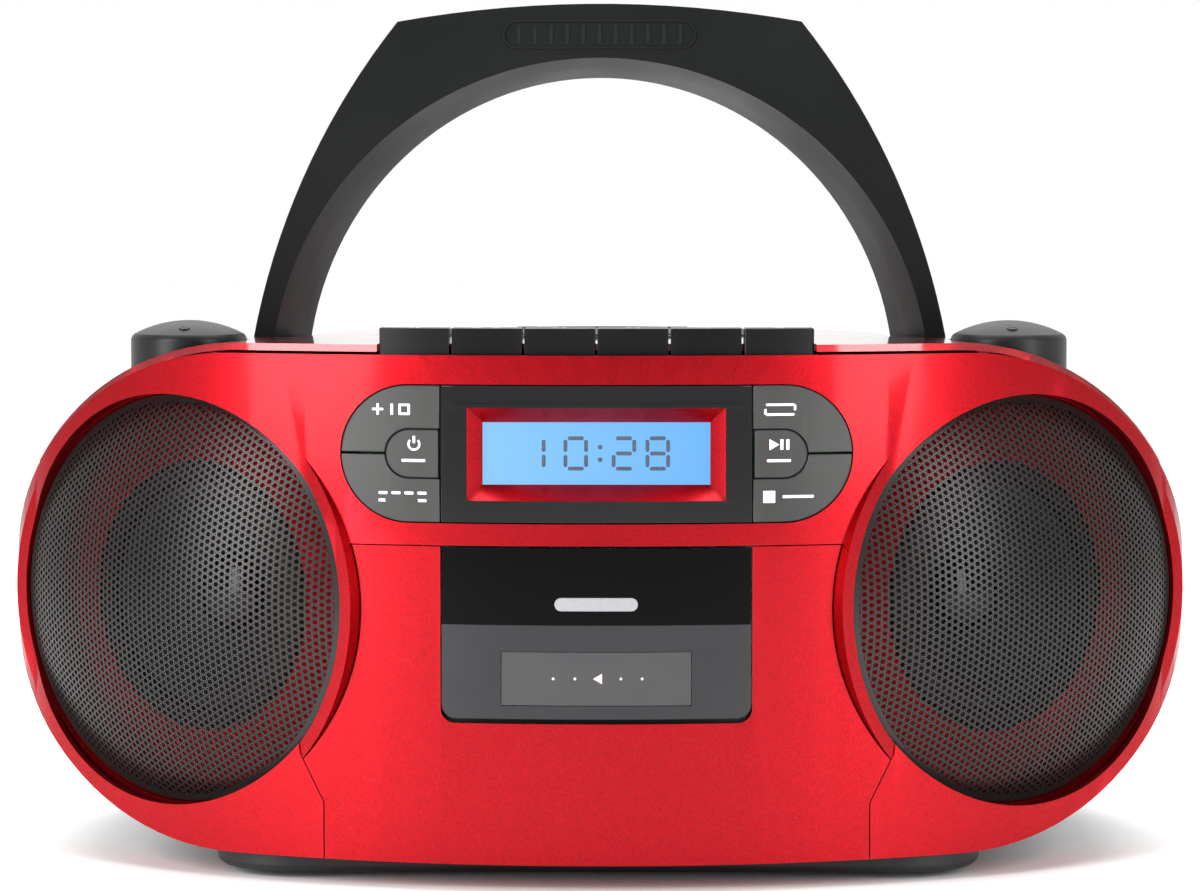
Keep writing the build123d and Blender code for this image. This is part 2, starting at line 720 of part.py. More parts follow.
with BuildPart() as cd_chassis:
    with Locations((27, disc_y, chassis_z)):
        Box(114, 60, 1.5, align=bottom_up)
    for rail_end in (10, 80):
        with Locations((rail_end, disc_y, chassis_z + 1.5)):
            Box(3, 2 * rail_offset + 8, rail_z + 3 - chassis_z - 1.5, align=bottom_up)
    with Locations((0, disc_y, chassis_z)):
        Cylinder(spindle_radius + running, 20, mode=Mode.SUBTRACT)
    with Locations((45, disc_y - rail_offset, rail_z), (45, disc_y + rail_offset, rail_z)):
        Cylinder(rail_radius, tall / 4, rotation=(0, 90, 0), mode=Mode.SUBTRACT)
save("cd_chassis", cd_chassis.part)

with BuildPart() as pickup_rails:
    with Locations((45, disc_y - rail_offset, rail_z), (45, disc_y + rail_offset, rail_z)):
        Cylinder(rail_radius, 73, rotation=(0, 90, 0))
save("pickup_rails", pickup_rails.part)

with BuildPart() as optical_pickup:
    with Locations((pickup_x, disc_y, rail_z - 4)):
        Box(28, 2 * rail_offset + 8, 8, align=bottom_up)
    with Locations((pickup_x, disc_y, rail_z + 4)):
        Cylinder(4, 8.5, align=bottom_up)
    with Locations((pickup_x, disc_y - rail_offset, rail_z), (pickup_x, disc_y + rail_offset, rail_z)):
        Cylinder(rail_radius + running, 30, rotation=(0, 90, 0), mode=Mode.SUBTRACT)
save("optical_pickup", optical_pickup.part)

with BuildPart() as cd_spindle:
    with Locations((0, disc_y, well_floor + 0.5)):
        Cylinder(15, 5, align=bottom_up)
    with Locations((0, disc_y, well_floor + 5.5)):
        Cylinder(7.4, 5, align=bottom_up)
    with Locations((0, disc_y, chassis_z - 4)):
        Cylinder(spindle_radius, well_floor - chassis_z + 5, align=bottom_up)
save("cd_spindle", cd_spindle.part)

# ---- cassette door, swinging on its lower edge with its holder ----
with BuildPart() as cassette_door:
    add(door_block(0, door_low, door_high))
    add(front_slab(0, door_thickness), mode=Mode.INTERSECT)
    with Locations((0, -tall / 4, window_z)):
        Box(window_width, tall / 2, window_height, mode=Mode.SUBTRACT)
    with Locations((0, door_knuckle_y, door_low + door_knuckle_radius)):
        Cylinder(door_knuckle_radius, 30, rotation=(0, 90, 0))
save("cassette_door", cassette_door.part)

with BuildPart() as cassette_window:
    with Locations((0, -tall / 4, window_z)):
        Box(window_width - 0.4, tall / 2, window_height - 0.4)
    add(front_slab(0.3, 2.0), mode=Mode.INTERSECT)
save("cassette_window", cassette_window.part)

with BuildPart() as cassette_holder:
    with Locations((0, holder_front_y, holder_low)):
        Box(cassette_length + 4.4, 13.8, 60, align=(Align.CENTER, Align.MIN, Align.MIN))
    with Locations((0, holder_front_y + 1.2, holder_low + 1.5)):
        Box(cassette_length + 1.2, 13.8, 60, align=(Align.CENTER, Align.MIN, Align.MIN), mode=Mode.SUBTRACT)
    with Locations((0, holder_front_y, window_z)):
        Box(window_width, 10, window_height, mode=Mode.SUBTRACT)
save("cassette_holder", cassette_holder.part)

# ---- cassette deck behind the door ----
with BuildPart() as deck_chassis:
    with Locations((0, deck_y, 48)):
        Box(124, deck_thickness, 78, align=(Align.CENTER, Align.MIN, Align.MIN))
    with Locations((-hub_x, deck_y, hub_z), (hub_x, deck_y, hub_z)):
        Cylinder(2 + running, 20, rotation=(90, 0, 0), mode=Mode.SUBTRACT)
    with Locations((capstan_x, deck_y, capstan_z)):
        Cylinder(capstan_radius + running, 20, rotation=(90, 0, 0), mode=Mode.SUBTRACT)
    with Locations((motor_x, deck_y, motor_z)):
        Cylinder(2, 20, rotation=(90, 0, 0), mode=Mode.SUBTRACT)
    with Locations((motor_x - 12, deck_y + deck_thickness, motor_z - 10),
                   (motor_x - 12, deck_y + deck_thickness, motor_z + 10)):
        Cylinder(2, 11.9, rotation=(-90, 0, 0), align=bottom_up)
save("deck_chassis", deck_chassis.part)

for side, name in ((-1, "supply_hub"), (1, "takeup_hub")):
    with BuildPart() as hub:
        with Locations((side * hub_x, deck_y - 0.4, hub_z)):
            Cylinder(9, 2.2, rotation=(90, 0, 0), align=bottom_up)
            Cylinder(3.2, 13, rotation=(90, 0, 0), align=bottom_up)
        with Locations((side * hub_x, deck_y - 6, hub_z)):
            for angle in range(0, 360, 120):
                with Locations(Rotation(0, angle, 0)):
                    Box(1.2, 6, 9.2, align=(Align.CENTER, Align.MAX, Align.CENTER))
        with Locations((side * hub_x, deck_y - 1, hub_z)):
            Cylinder(2, 5, rotation=(-90, 0, 0), align=bottom_up)
    save(name, hub.part)

with BuildPart() as capstan_flywheel:
    with Locations((capstan_x, -113, capstan_z)):
        Cylinder(capstan_radius, 28, rotation=(-90, 0, 0), align=bottom_up)
    with Locations((capstan_x, belt_y - 2.5, capstan_z)):
        Cylinder(flywheel_radius, 5, rotation=(-90, 0, 0), align=bottom_up)
save("capstan_flywheel", capstan_flywheel.part)

with BuildPart() as motor_pulley:
    with Locations((motor_x, belt_y - 2.5, motor_z)):
        Cylinder(pulley_radius, 5, rotation=(-90, 0, 0), align=bottom_up)
    with Locations((motor_x, belt_y + 2.5, motor_z)):
        Cylinder(1, 4, rotation=(-90, 0, 0), align=bottom_up)
save("motor_pulley", motor_pulley.part)

with BuildPart() as deck_motor:
    with Locations((motor_x, belt_y + 5.9, motor_z)):
        Cylinder(15, 24, rotation=(-90, 0, 0), align=bottom_up)
        Cylinder(1 + running, 4, rotation=(-90, 0, 0), align=bottom_up, mode=Mode.SUBTRACT)
save("deck_motor", deck_motor.part)

with BuildPart() as drive_belt:
    with BuildSketch(Plane.XZ.offset(-(belt_y + 1))):
        with Locations((capstan_x, capstan_z)):
            Circle(flywheel_radius + running + 0.9)
        with Locations((motor_x, motor_z)):
            Circle(pulley_radius + running + 0.9)
        make_hull()
    extrude(amount=2)
    with BuildSketch(Plane.XZ.offset(-(belt_y + 1))):
        with Locations((capstan_x, capstan_z)):
            Circle(flywheel_radius + running)
        with Locations((motor_x, motor_z)):
            Circle(pulley_radius + running)
        make_hull()
    extrude(amount=2, mode=Mode.SUBTRACT)
save("drive_belt", drive_belt.part)

with BuildPart() as head_plate:
    with Locations((-6, head_y, head_low - 4)):
        Box(48, deck_thickness, 12, align=(Align.CENTER, Align.MIN, Align.MIN))
    with Locations((25, head_y, head_low)):
        Box(14, deck_thickness, 8, align=(Align.CENTER, Align.MIN, Align.MIN))
    with Locations((capstan_x, head_y, head_low + 3)):
        Cylinder(1.2, 12, rotation=(90, 0, 0), align=bottom_up)
save("head_plate", head_plate.part)

with BuildPart() as tape_heads:
    with Locations((0, head_y - 11, head_low)):
        Box(12, 11, 7.5, align=(Align.CENTER, Align.MIN, Align.MIN))
    with Locations((-20, head_y - 11, head_low)):
        Box(7, 11, 7.5, align=(Align.CENTER, Align.MIN, Align.MIN))
save("tape_heads", tape_heads.part)

with BuildPart() as pinch_roller:
    with Locations((capstan_x, head_y - 3, head_low + 3)):
        Cylinder(5.5, 7, rotation=(90, 0, 0), align=bottom_up)
        Cylinder(1.2 + running, 8, rotation=(90, 0, 0), align=bottom_up, mode=Mode.SUBTRACT)
save("pinch_roller", pinch_roller.part)

# ---- mains transformer, main board and telescopic aerial ----
with BuildPart() as power_transformer:
    with Locations((transformer_x, transformer_y, base_height + wall)):
        Box(44, 36, transformer_height, align=bottom_up)
    with Locations((transformer_x, transformer_y, base_height + wall + transformer_height)):
        Box(28, 50, 0.8, align=bottom_up)
save("power_transformer", power_transformer.part)

with BuildPart() as antenna_knuckle:
    with Locations((antenna_x, rebate_y, antenna_z)):
        Cylinder(5, 2.9, rotation=(-90, 0, 0), align=bottom_up)
save("antenna_knuckle", antenna_knuckle.part)

with BuildPart() as antenna_tube:
    with Locations((antenna_x, antenna_y - 2.5, antenna_z)):
        Cylinder(4.5, 5.1, rotation=(-90, 0, 0), align=bottom_up)
    with Locations((antenna_x, antenna_y, antenna_z)):
        Cylinder(antenna_radius, antenna_length, rotation=(0, 90, 0), align=bottom_up)
    with Locations((antenna_x + 10, antenna_y, antenna_z)):
        Cylinder(antenna_radius - antenna_wall, antenna_length, rotation=(0, 90, 0), align=bottom_up,
                 mode=Mode.SUBTRACT)
save("antenna_tube", antenna_tube.part)

with BuildPart() as antenna_rod:
    with Locations((antenna_x + 12, antenna_y, antenna_z)):
        Cylinder(antenna_radius - antenna_wall - running, antenna_length - 11.5, rotation=(0, 90, 0),
                 align=bottom_up)
    with Locations((antenna_x + antenna_length + 0.3, antenna_y, antenna_z)):
        Cylinder(3, 6, rotation=(0, 90, 0), align=bottom_up)
save("antenna_rod", antenna_rod.part)
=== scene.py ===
# %% [markdown]
# # A portable stereo with a cassette player
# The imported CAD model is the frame: every node already has its real size and place, in metres.
# This script gives each node its finish, and swaps the visible ones for meshes with softened edges and fine detail.

# %% Load the frame
import bmesh
import bpy
import json
from math import cos, pi, radians, sin, sqrt
from mathutils import Matrix, Vector


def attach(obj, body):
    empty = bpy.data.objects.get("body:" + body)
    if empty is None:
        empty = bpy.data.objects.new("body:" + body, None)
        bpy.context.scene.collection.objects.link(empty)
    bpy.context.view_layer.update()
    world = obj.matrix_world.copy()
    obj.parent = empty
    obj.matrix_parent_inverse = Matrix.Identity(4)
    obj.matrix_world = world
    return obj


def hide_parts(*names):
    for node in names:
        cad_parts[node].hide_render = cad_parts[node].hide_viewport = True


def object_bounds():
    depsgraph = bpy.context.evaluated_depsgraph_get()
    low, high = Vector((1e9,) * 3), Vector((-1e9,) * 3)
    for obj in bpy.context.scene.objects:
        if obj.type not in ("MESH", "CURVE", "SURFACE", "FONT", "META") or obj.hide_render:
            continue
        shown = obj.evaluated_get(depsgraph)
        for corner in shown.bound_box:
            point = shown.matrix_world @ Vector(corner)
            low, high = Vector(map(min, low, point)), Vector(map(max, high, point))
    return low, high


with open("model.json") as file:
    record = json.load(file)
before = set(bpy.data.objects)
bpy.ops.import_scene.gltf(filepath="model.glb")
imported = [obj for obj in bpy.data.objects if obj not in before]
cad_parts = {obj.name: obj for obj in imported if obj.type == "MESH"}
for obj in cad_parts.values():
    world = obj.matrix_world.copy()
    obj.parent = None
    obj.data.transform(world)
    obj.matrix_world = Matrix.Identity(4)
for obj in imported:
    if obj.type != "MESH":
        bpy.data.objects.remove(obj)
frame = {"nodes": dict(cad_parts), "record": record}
cad_low, cad_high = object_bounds()
nodes = frame["nodes"]
body_of_node = {name: body for body, names in frame["record"]["behaviour"]["bodies"].items() for name in names}
slot_of_node = {part["node"]: part["material_slot"] for part in frame["record"]["subparts"]}
mm = 0.001
print("nodes:", len(nodes), "box:", [round(v, 4) for v in (*cad_low, *cad_high)])

# %% [markdown]
# ## Node helpers
# A material is a small graph. One function adds a node with its settings and its links, so that the graph reads as a
# short list of steps. Colours are given as the sRGB hex values a painter would read from a swatch, and Blender needs
# them linear.

# %% Colour and node helpers
def linear(swatch):
    """An sRGB hex colour as linear red, green, blue and alpha."""
    channels = [int(swatch[i:i + 2], 16) / 255 for i in (1, 3, 5)]
    return (*[c / 12.92 if c <= 0.04045 else ((c + 0.055) / 1.055) ** 2.4 for c in channels], 1.0)


def add_node(tree, kind, inputs=None, **settings):
    """Adds one node; inputs holds values or the sockets that feed it."""
    made = tree.nodes.new(kind)
    for name, value in settings.items():
        setattr(made, name, value)
    for name, value in (inputs or {}).items():
        if isinstance(value, bpy.types.NodeSocket):
            tree.links.new(value, made.inputs[name])
        else:
            made.inputs[name].default_value = value
    return made


def new_material(name):
    """An empty node material with its output node."""
    made = bpy.data.materials.new(name)
    made.use_nodes = True
    made.node_tree.nodes.clear()
    output = add_node(made.node_tree, "ShaderNodeOutputMaterial")
    return made, made.node_tree, output


def blend_colours(tree, factor, low, high):
    """Mixes two colours by a factor and returns the colour socket."""
    mix = add_node(tree, "ShaderNodeMix", data_type="RGBA")
    tree.links.new(factor, mix.inputs["Factor"])
    for socket, value in (("A", low), ("B", high)):
        target = [s for s in mix.inputs if s.name == socket and s.type == "RGBA"][0]
        if isinstance(value, bpy.types.NodeSocket):
            tree.links.new(value, target)
        else:
            target.default_value = value
    return [s for s in mix.outputs if s.type == "RGBA"][0]


def pattern(tree, size_mm, detail=2.0, kind="ShaderNodeTexNoise"):
    """A noise on the object's own coordinates, whose features are about size_mm across."""
    coordinates = add_node(tree, "ShaderNodeTexCoord")
    inputs = {"Vector": coordinates.outputs["Object"], "Scale": 1 / (size_mm * mm)}
    if kind == "ShaderNodeTexNoise":
        inputs["Detail"] = detail
    return add_node(tree, kind, inputs)


def worn_edges(tree, low=0.52, high=0.60):
    """0 on flats and 1 on convex edges, where handling polishes a surface."""
    geometry = add_node(tree, "ShaderNodeNewGeometry")
    return add_node(tree, "ShaderNodeMapRange", {"Value": geometry.outputs["Pointiness"], "From Min": low,
                                                 "From Max": high, "To Min": 0.0, "To Max": 1.0}, clamp=True)


def ranged(tree, value, low, high):
    """Stretches a 0..1 value to low..high."""
    return add_node(tree, "ShaderNodeMapRange", {"Value": value, "From Min": 0.3, "From Max": 0.7, "To Min": low,
                                                 "To Max": high}, clamp=True).outputs["Result"]


# %% [markdown]
# ## Moulded plastics
# Most of the casing is injection-moulded ABS. The mould is spark-eroded, which leaves a fine grain of a few tenths of
# a millimetre; a polished mould leaves a gloss with a faint ripple. One function makes both, with the
# grain's size, its depth and the roughness as the difference. Worn edges are a little lighter.

# %% Moulded plastic
def moulded_plastic(name, colour, worn_colour, roughness, grain_mm, grain_depth_mm, coat=0.0, coat_roughness=0.05,
                    specular=0.5):
    """Injection-moulded ABS: IOR 1.46, a grain from the mould, slow drift in gloss, paler handled edges."""
    made, tree, output = new_material(name)
    grain = pattern(tree, grain_mm, 3.0)
    drift = pattern(tree, 60.0, 2.0)
    edges = worn_edges(tree)
    mottled = blend_colours(tree, ranged(tree, drift.outputs["Fac"], 0.0, 0.35), linear(colour), linear(worn_colour))
    surface = blend_colours(tree, edges.outputs["Result"], mottled, linear(worn_colour))
    bump = add_node(tree, "ShaderNodeBump", {"Height": grain.outputs["Fac"], "Distance": grain_depth_mm * mm,
                                             "Strength": 0.6})
    shader = add_node(tree, "ShaderNodeBsdfPrincipled", {
        "Base Color": surface, "IOR": 1.46, "Normal": bump.outputs["Normal"],
        "Roughness": ranged(tree, drift.outputs["Fac"], roughness * 0.88, roughness * 1.12),
        "Coat Weight": coat, "Coat Roughness": coat_roughness, "Specular IOR Level": specular})
    tree.links.new(shader.outputs["BSDF"], output.inputs["Surface"])
    return made


materials = {
    "black_shell": moulded_plastic("spark_grained_abs", "#141517", "#232427", 0.52, 0.9, 0.035),
    "handle_black": moulded_plastic("satin_handle_abs", "#0c0e0e", "#1a1c1c", 0.52, 0.7, 0.02, 0.0, 0.05, 0.16),
    "key_black": moulded_plastic("semi_gloss_key_abs", "#080808", "#161617", 0.26, 2.5, 0.006, 0.0, 0.05, 0.22),
    "knob_black": moulded_plastic("satin_knob_abs", "#0f1110", "#262827", 0.38, 0.8, 0.015, 0.0, 0.05, 0.28),
    "panel_black": moulded_plastic("polished_panel_abs", "#050506", "#0e0e10", 0.10, 4.0, 0.004, 0.25, 0.03, 0.3),
    "door_black": moulded_plastic("polished_door_abs", "#020203", "#060607", 0.08, 5.0, 0.004, 0.0, 0.03, 0.08),
    "rubber": moulded_plastic("moulded_rubber", "#101010", "#1c1c1c", 0.78, 0.5, 0.03),
    "white_acetal": moulded_plastic("natural_acetal", "#d8d7d0", "#efeee8", 0.40, 1.5, 0.01),
    "circuit_board": moulded_plastic("green_solder_mask", "#0d4a26", "#15693a", 0.35, 1.8, 0.02),
    "speaker_paper": moulded_plastic("pressed_paper_cone", "#121213", "#242425", 0.70, 0.6, 0.08),
    "core_steel": moulded_plastic("varnished_laminations", "#1c1a18", "#3a352f", 0.45, 0.5, 0.04),
}
button_grey = moulded_plastic("satin_button_abs", "#242423", "#383836", 0.34, 1.2, 0.012)
door_satin = moulded_plastic("satin_door_panel", "#1c1d20", "#2a2b2e", 0.42, 0.8, 0.012)
# A paler copy of the handle plastic for the handle's chamfer: a painted highlight that stands in for the overhead
# light on it.
handle_chamfer_painted_highlight = moulded_plastic("painted_highlight_handle_chamfer", "#2c2e2e", "#454747", 0.40, 0.7, 0.02)
print("plastics:", len(materials) + 3)

# %% [markdown]
# ## Red metallic lacquer
# The front is ABS sprayed with a red lacquer that carries fine aluminium flakes, under a satin clear coat. The flakes
# make the colour brighten where the light is mirrored and go deep where it isn't, so the base is partly metallic. A
# fine cell pattern tilts each flake a little; real flakes are 0.03 mm, drawn here at 0.35 mm so that they show.

# %% Red lacquer
def red_lacquer(name="red_flake_lacquer", deep="#7e000a", bright="#b60313", roughness=0.29, coat=0.16,
                coat_roughness=0.12):
    made, tree, output = new_material(name)
    flakes = pattern(tree, 0.35, kind="ShaderNodeTexVoronoi")
    orange_peel = pattern(tree, 2.2, 1.0)
    drift = pattern(tree, 90.0, 2.0)
    edges = worn_edges(tree, 0.53, 0.62)
    flake_value = add_node(tree, "ShaderNodeSeparateColor", {"Color": flakes.outputs["Color"]})
    sprayed = blend_colours(tree, ranged(tree, flake_value.outputs["Red"], 0.25, 0.75), linear(deep), linear(bright))
    surface = blend_colours(tree, edges.outputs["Result"], sprayed, linear("#b8101f"))
    peel_bump = add_node(tree, "ShaderNodeBump", {"Height": orange_peel.outputs["Fac"], "Distance": 0.004 * mm,
                                                  "Strength": 0.5})
    flake_bump = add_node(tree, "ShaderNodeBump", {"Height": flake_value.outputs["Green"], "Distance": 0.012 * mm,
                                                   "Strength": 0.35, "Normal": peel_bump.outputs["Normal"]})
    shader = add_node(tree, "ShaderNodeBsdfPrincipled", {
        "Base Color": surface, "Metallic": 0.90, "IOR": 1.5, "Normal": flake_bump.outputs["Normal"],
        "Roughness": ranged(tree, drift.outputs["Fac"], roughness - 0.02, roughness + 0.04), "Coat Weight": coat,
        "Coat Roughness": coat_roughness,
        "Coat Normal": peel_bump.outputs["Normal"]})
    tree.links.new(shader.outputs["BSDF"], output.inputs["Surface"])
    return made


materials["red_lacquer"] = red_lacquer()
print("lacquer:", materials["red_lacquer"].name)

# %% [markdown]
# ## Metals, window and screen
# Sheet steel is zinc plated, with a faint grain from rolling; bright parts are nickel plated; the flywheel is turned
# brass; the grilles are perforated steel under a black powder coat. The cassette window is smoked polystyrene. The
# screen is a liquid crystal over an even blue lamp, so it gives its own light.

# %% Metals
def sheet_metal(name, colour, shade, roughness, grain_mm, metallic=1.0, depth_mm=0.004):
    """A metal face: default IOR, a long grain that also moves the gloss."""
    made, tree, output = new_material(name)
    coordinates = add_node(tree, "ShaderNodeTexCoord")
    stretched = add_node(tree, "ShaderNodeMapping", {"Vector": coordinates.outputs["Object"],
                                                     "Scale": (1.0, 1.0, 6.0)})
    grain = add_node(tree, "ShaderNodeTexNoise", {"Vector": stretched.outputs["Vector"], "Scale": 1 / (grain_mm * mm),
                                                  "Detail": 3.0})
    edges = worn_edges(tree)
    face = blend_colours(tree, grain.outputs["Fac"], linear(shade), linear(colour))
    surface = blend_colours(tree, edges.outputs["Result"], face, linear(colour))
    bump = add_node(tree, "ShaderNodeBump", {"Height": grain.outputs["Fac"], "Distance": depth_mm * mm,
                                             "Strength": 0.5})
    shader = add_node(tree, "ShaderNodeBsdfPrincipled", {
        "Base Color": surface, "Metallic": metallic, "Normal": bump.outputs["Normal"],
        "Roughness": ranged(tree, grain.outputs["Fac"], roughness * 0.85, roughness * 1.15)})
    tree.links.new(shader.outputs["BSDF"], output.inputs["Surface"])
    return made


materials["plated_steel"] = sheet_metal("zinc_plated_sheet", "#c3c5c9", "#9b9da2", 0.34, 0.8)
materials["bright_steel"] = sheet_metal("nickel_plate", "#e2e2e4", "#c8c8cc", 0.14, 1.5, 1.0, 0.001)
materials["brass"] = sheet_metal("turned_brass", "#d3ab5c", "#a98543", 0.24, 0.5)
materials["grille_steel"] = sheet_metal("powder_coated_grille", "#343231", "#222120", 0.34, 0.6, 0.5, 0.01)


# %% Window and screen
def smoked_window():
    """Smoked clear polystyrene, IOR 1.59, with fine moulding haze."""
    made, tree, output = new_material("smoked_polystyrene")
    haze = pattern(tree, 12.0)
    tint = blend_colours(tree, haze.outputs["Fac"], linear("#2e2f32"), linear("#3d3a3c"))
    shader = add_node(tree, "ShaderNodeBsdfPrincipled", {
        "Base Color": tint, "IOR": 1.59, "Alpha": 0.80, "Roughness": ranged(tree, haze.outputs["Fac"], 0.10, 0.16)})
    tree.links.new(shader.outputs["BSDF"], output.inputs["Surface"])
    return made


def lit_screen():
    """A back-lit liquid crystal: even blue light, a little paler towards the lamp at its left."""
    made, tree, output = new_material("backlit_screen")
    cells = pattern(tree, 0.5, kind="ShaderNodeTexVoronoi")
    coordinates = add_node(tree, "ShaderNodeTexCoord")
    place = add_node(tree, "ShaderNodeSeparateXYZ", {"Vector": coordinates.outputs["Object"]})
    across = add_node(tree, "ShaderNodeMapRange", {"Value": place.outputs["X"], "From Min": -0.04, "From Max": 0.04})
    blue = blend_colours(tree, across.outputs["Result"], linear("#86c5fb"), linear("#62adf2"))
    glow = blend_colours(tree, ranged(tree, cells.outputs["Distance"], 0.0, 0.06), blue, linear("#4d9be6"))
    shader = add_node(tree, "ShaderNodeBsdfPrincipled", {
        "Base Color": linear("#2b4a66"), "Roughness": 0.12, "IOR": 1.5, "Emission Color": glow,
        "Emission Strength": 0.85})
    tree.links.new(shader.outputs["BSDF"], output.inputs["Surface"])
    return made


def printed_ink(name, colour, roughness=0.5, unevenness=0.3):
    """Pad-printed ink, with the faint unevenness of the print."""
    made, tree, output = new_material(name)
    speckle = pattern(tree, 0.4)
    share = ranged(tree, speckle.outputs["Fac"], 0.0, unevenness)
    ink = blend_colours(tree, share, linear(colour), linear("#8c8c8c"))
    shader = add_node(tree, "ShaderNodeBsdfPrincipled", {
        "Base Color": ink, "IOR": 1.5, "Roughness": ranged(tree, speckle.outputs["Fac"], roughness, roughness + 0.1)})
    tree.links.new(shader.outputs["BSDF"], output.inputs["Surface"])
    return made


materials["smoke_window"] = smoked_window()
materials["screen"] = lit_screen()
white_ink = printed_ink("white_print", "#f2f2f2")
rose_ink = printed_ink("rose_print", "#f4c9cc")
dark_ink = printed_ink("dark_crystal", "#17324d", 0.3)
badge_metal = sheet_metal("badge_nickel", "#b4b4b8", "#98989c", 0.30, 1.2, 1.0, 0.001)
for name, node in nodes.items():
    node.data.materials.clear()
    node.data.materials.append(materials[slot_of_node[name]])
print("materials:", len(bpy.data.materials))

# %% [markdown]
# ## Finishing a piece
# `piece_from` turns a bmesh into an object that rides on its CAD body. `softened` copies a CAD node, welds its loose
# triangles, clears the flat faces and rounds the edges with a Bevel modifier, because every moulded edge has a small
# radius that catches the light, and a sharp edge gives a model away.

# %% Piece helpers
def piece_from(shape, name, body, slot_name, material=None, smooth_angle=35.0):
    """Makes an object of a bmesh, shades it smooth up to an angle, and hangs it on a body."""
    mesh = bpy.data.meshes.new(name)
    shape.to_mesh(mesh)
    shape.free()
    made = bpy.data.objects.new(name, mesh)
    bpy.context.scene.collection.objects.link(made)
    mesh.materials.append(material or materials[slot_name])
    for face in mesh.polygons:
        face.use_smooth = True
    mesh.set_sharp_from_angle(angle=radians(smooth_angle))
    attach(made, body)
    return made


def welded(*names):
    """The CAD nodes' meshes as one bmesh, welded, with flat areas as single faces."""
    shape = bmesh.new()
    for name in names:
        shape.from_mesh(nodes[name].data)
    bmesh.ops.remove_doubles(shape, verts=shape.verts, dist=0.0004 * mm)
    return shape


def dissolve_flats(shape, degrees=0.6):
    bmesh.ops.dissolve_limit(shape, angle_limit=radians(degrees), verts=shape.verts, edges=shape.edges,
                             delimit={"NORMAL"})


def round_edges(made, width_mm, segments=2, degrees=32.0):
    """A Bevel modifier on the sharp edges, with shading that stays flat beside them."""
    bevel = made.modifiers.new("rounded_edges", "BEVEL")
    bevel.width = width_mm * mm
    bevel.segments = segments
    bevel.limit_method = "ANGLE"
    bevel.angle_limit = radians(degrees)
    bevel.harden_normals = False
    bevel.use_clamp_overlap = True
    weighted = made.modifiers.new("flat_face_shading", "WEIGHTED_NORMAL")
    weighted.keep_sharp = True
    return made


def softened(name, width_mm, segments=2, degrees=32.0):
    """Stands for one CAD node, with its edges rounded."""
    shape = welded(name)
    dissolve_flats(shape)
    made = piece_from(shape, name + "_finish", body_of_node[name], slot_of_node[name])
    round_edges(made, width_mm, segments, degrees)
    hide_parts(name)
    return made


# %% Soften the casing, keys and knobs
edge_widths = {
    "front_cabinet": 0.5, "lower_fascia": 0.4, "top_cover": 0.8, "rear_cabinet": 0.8, "base_cover": 0.6,
    "display_panel": 0.3, "battery_door": 0.4, "cd_lid": 0.8, "cassette_door": 0.5,
    "preset_button": 0.45, "program_button": 0.45, "repeat_button": 0.45, "stop_button": 0.45,
    "mode_button": 0.5, "play_button": 0.5,
    "pause_key": 0.7, "eject_key": 0.7, "forward_key": 0.7, "rewind_key": 0.7, "deck_play_key": 0.7,
    "record_key": 0.7, "function_knob": 1.4, "volume_knob": 1.4,
}
finished = {name: softened(name, width) for name, width in edge_widths.items()}
finished["top_cover"].data.materials[0] = red_lacquer("polished_red_lacquer", "#6e000a", "#9c0a18", 0.26, 1.0, 0.05)
for name in ("preset_button", "program_button", "repeat_button", "stop_button", "mode_button", "play_button"):
    finished[name].data.materials[0] = button_grey
print("softened:", len(finished))

# %% [markdown]
# ## The handle
# The handle's two shells meet in the middle of its depth, and their edges have a small radius. The real handle also
# has a wide chamfer round its outer edge. It is asked for here as a bevel with one segment on the outer rim's edges
# only, which are the ones whose second face looks away from the middle of the arch. The chamfer faces take a paler
# copy of the handle plastic: a painted highlight where the overhead light falls on the chamfer. On this outline the
# bevel comes out far narrower than its offset, so the wide, lighter band of the real one doesn't show.

# %% Handle shells
handle_centre = Vector((0.0, 0.005, 0.170))
chamfer_offset = 4.2 * mm


def outer_rim(shape, rim_y):
    """Edges on the flat face at rim_y whose other face looks outwards and lies above the body."""
    found = []
    for edge in shape.edges:
        if all(abs(v.co.y - rim_y) < 0.05 * mm for v in edge.verts) and edge.calc_face_angle(0.0) > 1.0:
            middle = (edge.verts[0].co + edge.verts[1].co) / 2
            outward = (middle - handle_centre) * Vector((1, 0, 1))
            side = max((f.normal for f in edge.link_faces), key=lambda n: 1 - abs(n.y))
            if side.dot(outward) > 0 and middle.z > 0.172:
                found.append(edge)
    return found


for name, rim_y in (("handle_front_shell", -0.0175), ("handle_rear_shell", 0.0275)):
    shape = welded(name)
    dissolve_flats(shape)
    shape.normal_update()
    rim = outer_rim(shape, rim_y)
    chamfer = bmesh.ops.bevel(shape, geom=rim, offset=chamfer_offset, segments=1, affect="EDGES", profile=0.5,
                              material=-1, clamp_overlap=True)["faces"]
    # The chamfer faces take the paler copy of the handle plastic, which is a painted highlight.
    for face in chamfer:
        face.material_index = 1
    made = piece_from(shape, name + "_finish", "handle", "handle_black", smooth_angle=28.0)
    made.data.materials.append(handle_chamfer_painted_highlight)
    round_edges(made, 0.6, 2, 28.0)
    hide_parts(name)
    print(name, "chamfered edges:", len(rim), "chamfer faces:", len(chamfer))

# %% [markdown]
# ## Perforated grilles
# The grilles are sheet steel punched with a honeycomb of round holes at a 2.5 mm pitch and pressed to a dome. One
# hexagon is made and copied over the disc, the touching corners are merged, each cell is inset and its middle
# removed, and the flat net is then lifted onto the dome's sphere and given the sheet's thickness.

# %% Grilles
rim_radius = 73.5 * mm
dome_radius = 140 * mm
dome_drop = sqrt(dome_radius ** 2 - rim_radius ** 2)
hole_pitch = 2.5 * mm


